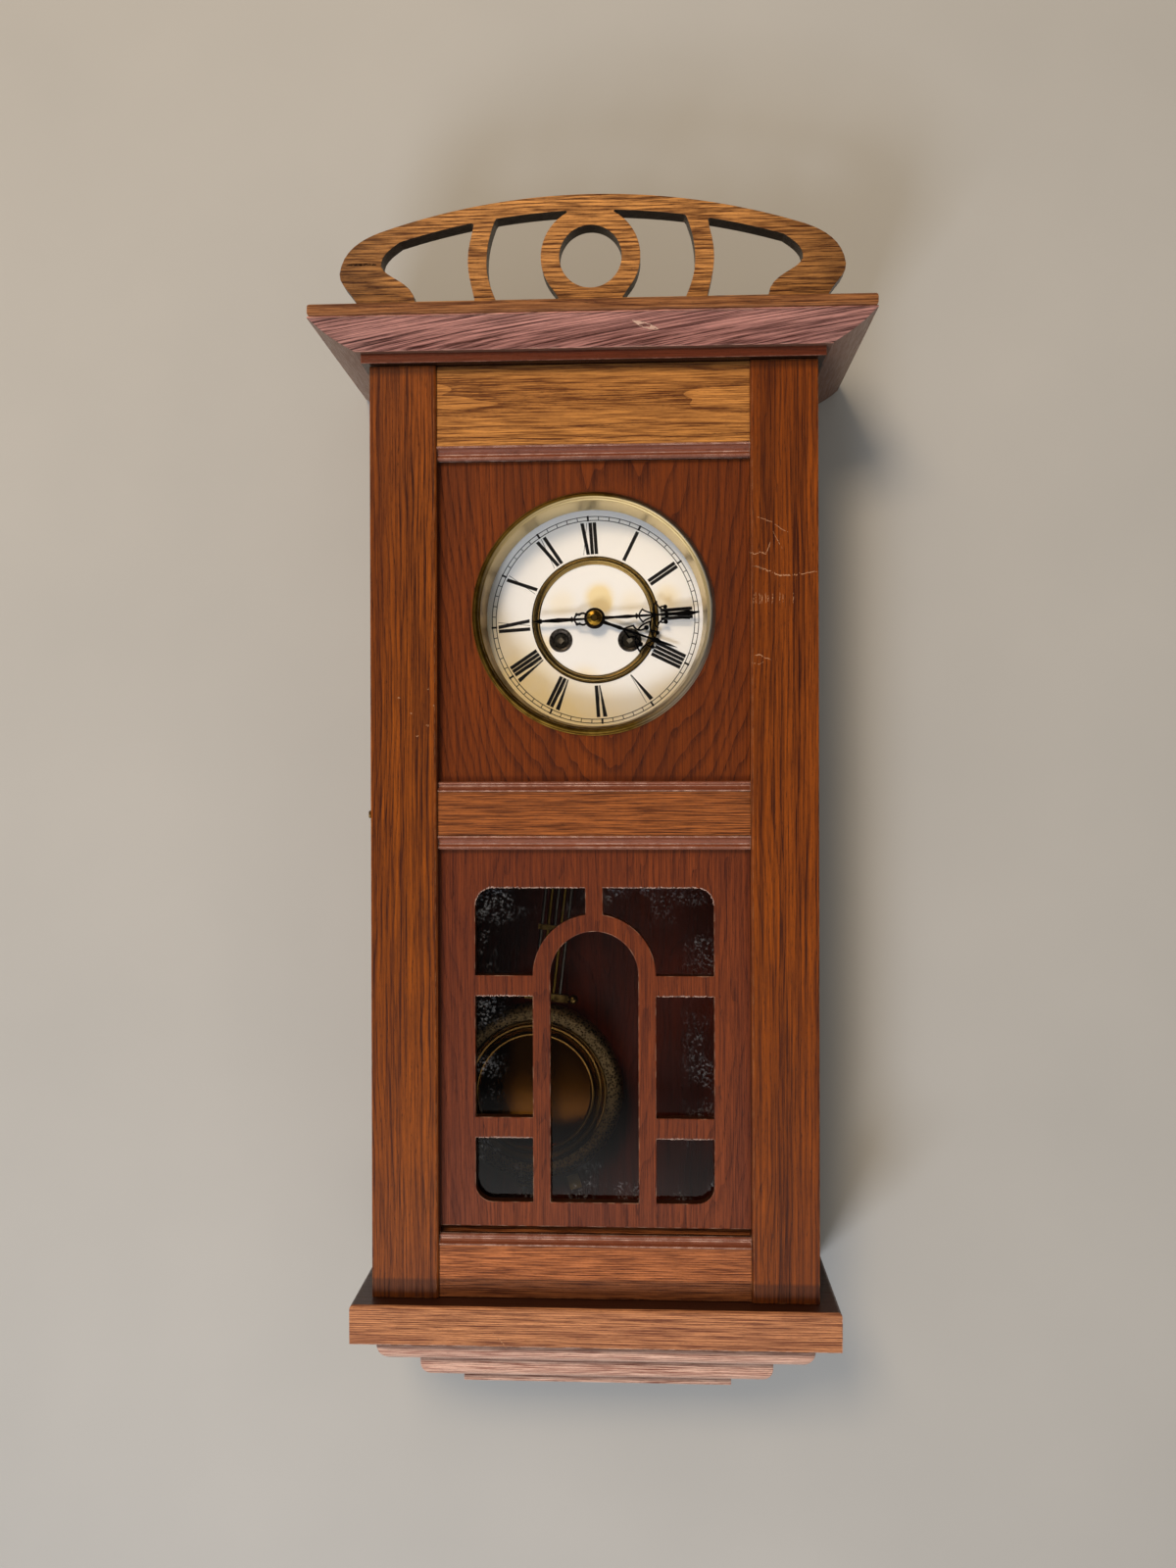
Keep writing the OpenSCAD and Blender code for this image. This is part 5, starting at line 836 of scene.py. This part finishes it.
def scratch(points, width, seed):
    """The corners of one scratch's dashes, in millimetres. It follows the points (x, z) in
    straight legs cut into dashes, wobbles sideways by a third of its width, and its width
    goes as the sine of the way along it. Some dashes are left out at random."""
    rng = np.random.default_rng(seed)
    points = np.array(points, float)
    way = np.r_[0, np.cumsum(np.hypot(*np.diff(points, axis=0).T))]
    count = max(6, int(way[-1] / DASH))
    s = np.linspace(0, way[-1], count + 1)
    line = np.column_stack([np.interp(s, way, points[:, i]) for i in (0, 1)])
    line += rng.normal(0, width / 3, line.shape)
    tangent = np.gradient(line, axis=0)
    side = np.column_stack([-tangent[:, 1], tangent[:, 0]])
    side /= np.linalg.norm(side, axis=1, keepdims=True)
    swell = 0.35 + 0.65 * np.sin(np.pi * s / way[-1])
    half = width / 2 * swell * rng.uniform(0.5, 1.3, count + 1)
    a, b = line + side * half[:, None], line - side * half[:, None]
    keep = rng.random(count) > LEFT_OUT
    return np.stack([b[:-1], b[1:], a[1:], a[:-1]], axis=1)[keep].reshape(-1, 2)


def lay_on(name, marks, face, material, body):
    """Lays marks, in millimetres, just in front of a face that stands at y = face, in metres.
    face is one number, or one for each corner."""
    flat = np.concatenate(marks)
    y = np.broadcast_to(face - LIFT * MM, len(flat))
    corners = np.column_stack([flat[:, 0] * MM, y, flat[:, 1] * MM])
    quads(name, corners, material, body)


marks = [
    scratch([(108, -84), (115, -86), (122, -89), (127, -93), (133, -96)], 0.5, 1),
    scratch([(121, -93.5), (124.5, -100.5), (129, -108.5)], 0.35, 2),
    scratch([(105, -108), (109, -110), (113, -108.5), (117, -110), (120, -101)], 0.7, 3),
    scratch([(107, -117.5), (114, -119.5), (121, -122), (126, -124.4), (134, -124.4), (143, -123),
             (151, -122)], 0.9, 4),
    scratch([(107, -118), (112, -118.4), (119, -121)], 0.8, 5),
    scratch([(107, -179), (111.5, -177.5), (120, -181)], 0.7, 6),
    scratch([(107, -183), (112, -184), (116, -182)], 0.4, 7),
]
# ten short strokes beside each other
marks += [scratch([(x, -136), (x + 0.2, -139), (x, -143)], 0.5, 20 + i)
          for i, x in enumerate((108.5, 110, 112.5, 114, 116.5, 118, 121, 126, 128, 135))]
raw = matt("raw oak in a scratch", "#7d4726", 0.7, other="#c99a72", scale=700.0)
lay_on("stile_scratches", marks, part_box("door_stile_right")[0][1], raw, "door")

# %% Specks on the left stile, a scratch on the base and a crack in the crest
dots = [(-133.2, -205.2), (-112.9, -199.3), (-108.9, -210.0), (-113.7, -224.0), (-124.4, -215.9),
        (-120.5, -231.3)]
specks = [scratch([(x, z), (x + 1.4, z - 0.4)], 0.9, 60 + i) for i, (x, z) in enumerate(dots)]
lay_on("stile_specks", specks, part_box("door_stile_left")[0][1], raw, "door")
lay_on("base_scratch", [scratch([(-67.9, -632), (-63, -637), (-58.5, -642.4)], 0.7, 70)],
       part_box("base_board")[0][1], raw, "case")
crack = matt("open crack, dark with dirt", "#1a0c05", 0.9)
split = [scratch([(-162.5, 82), (-152, 82.2), (-143, 82.1)], 0.8, 90 + i) for i in range(4)]
lay_on("crest_crack", split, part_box("crest")[0][1], crack, "case")

# %% The nick in the cornice
# It lies on a curve, so the depth of each corner is read off the moulding's own front corners.
MOULDING_FRONT = -0.14     # its corners nearer than this are on its front, metres
NICK_FROM, NICK_TO = np.array([27.5, 38.4]), np.array([45.0, 34.4])     # x and z, mm
NICK_HALF = 1.25     # half its greatest width, mm
corners = nodes["cornice_moulding"].data.vertices
profile = np.empty(3 * len(corners))
corners.foreach_get("co", profile)
profile = profile.reshape(-1, 3)
profile = profile[profile[:, 1] < MOULDING_FRONT]
profile = profile[np.argsort(profile[:, 2])]
way = np.linspace(0, 1, 15)
line = NICK_FROM + (NICK_TO - NICK_FROM) * np.column_stack([way, way ** 0.8])
half = NICK_HALF * np.sin(np.pi * way) ** 0.7 * (0.85 + 0.15 * np.sin(way * 31))
upper, lower = line + half[:, None] * (0.2, 1), line - half[:, None] * (0.2, 1)
nick = np.stack([lower[:-1], lower[1:], upper[1:], upper[:-1]], axis=1).reshape(-1, 2)
bare = matt("bare oak", "#e8bea2", 0.6)
depth = np.interp(nick[:, 1] * MM, profile[:, 2], profile[:, 1])
lay_on("cornice_nick", [nick], depth, bare, "case")

# %% Chipped edges of the window openings
# Points on the top edge of each opening, in mm: the rounded one above and the straight ones below.
WINDOW_HALF, WINDOW_TOP, WINDOW_ROUND, BAR_HALF = 82.0, -335.8, 12.0, 6
ARCH_OUT, LOWER_TOPS = 43, (-410.2, -507.8)
turn_of = np.radians(np.linspace(90, 0, 7))
rounded = np.column_stack([WINDOW_HALF - WINDOW_ROUND + WINDOW_ROUND * np.cos(turn_of),
                           WINDOW_TOP - WINDOW_ROUND + WINDOW_ROUND * np.sin(turn_of)])
edges = [[(BAR_HALF, WINDOW_TOP), (40, WINDOW_TOP), *rounded.tolist()]]
edges += [[(ARCH_OUT, z), (WINDOW_HALF - 1, z)] for z in LOWER_TOPS]
chips = [scratch([(side * x, z + 0.25) for x, z in edge], 0.7, 80 + number + 5 * pair + side)
         for side in (-1, 1) for number, edge in enumerate(edges) for pair in (0, 1)]
pale = matt("chipped varnish, pale", "#b09488", 0.6)
lay_on("window_chips", chips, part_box("fretted_panel")[0][1], pale, "door")
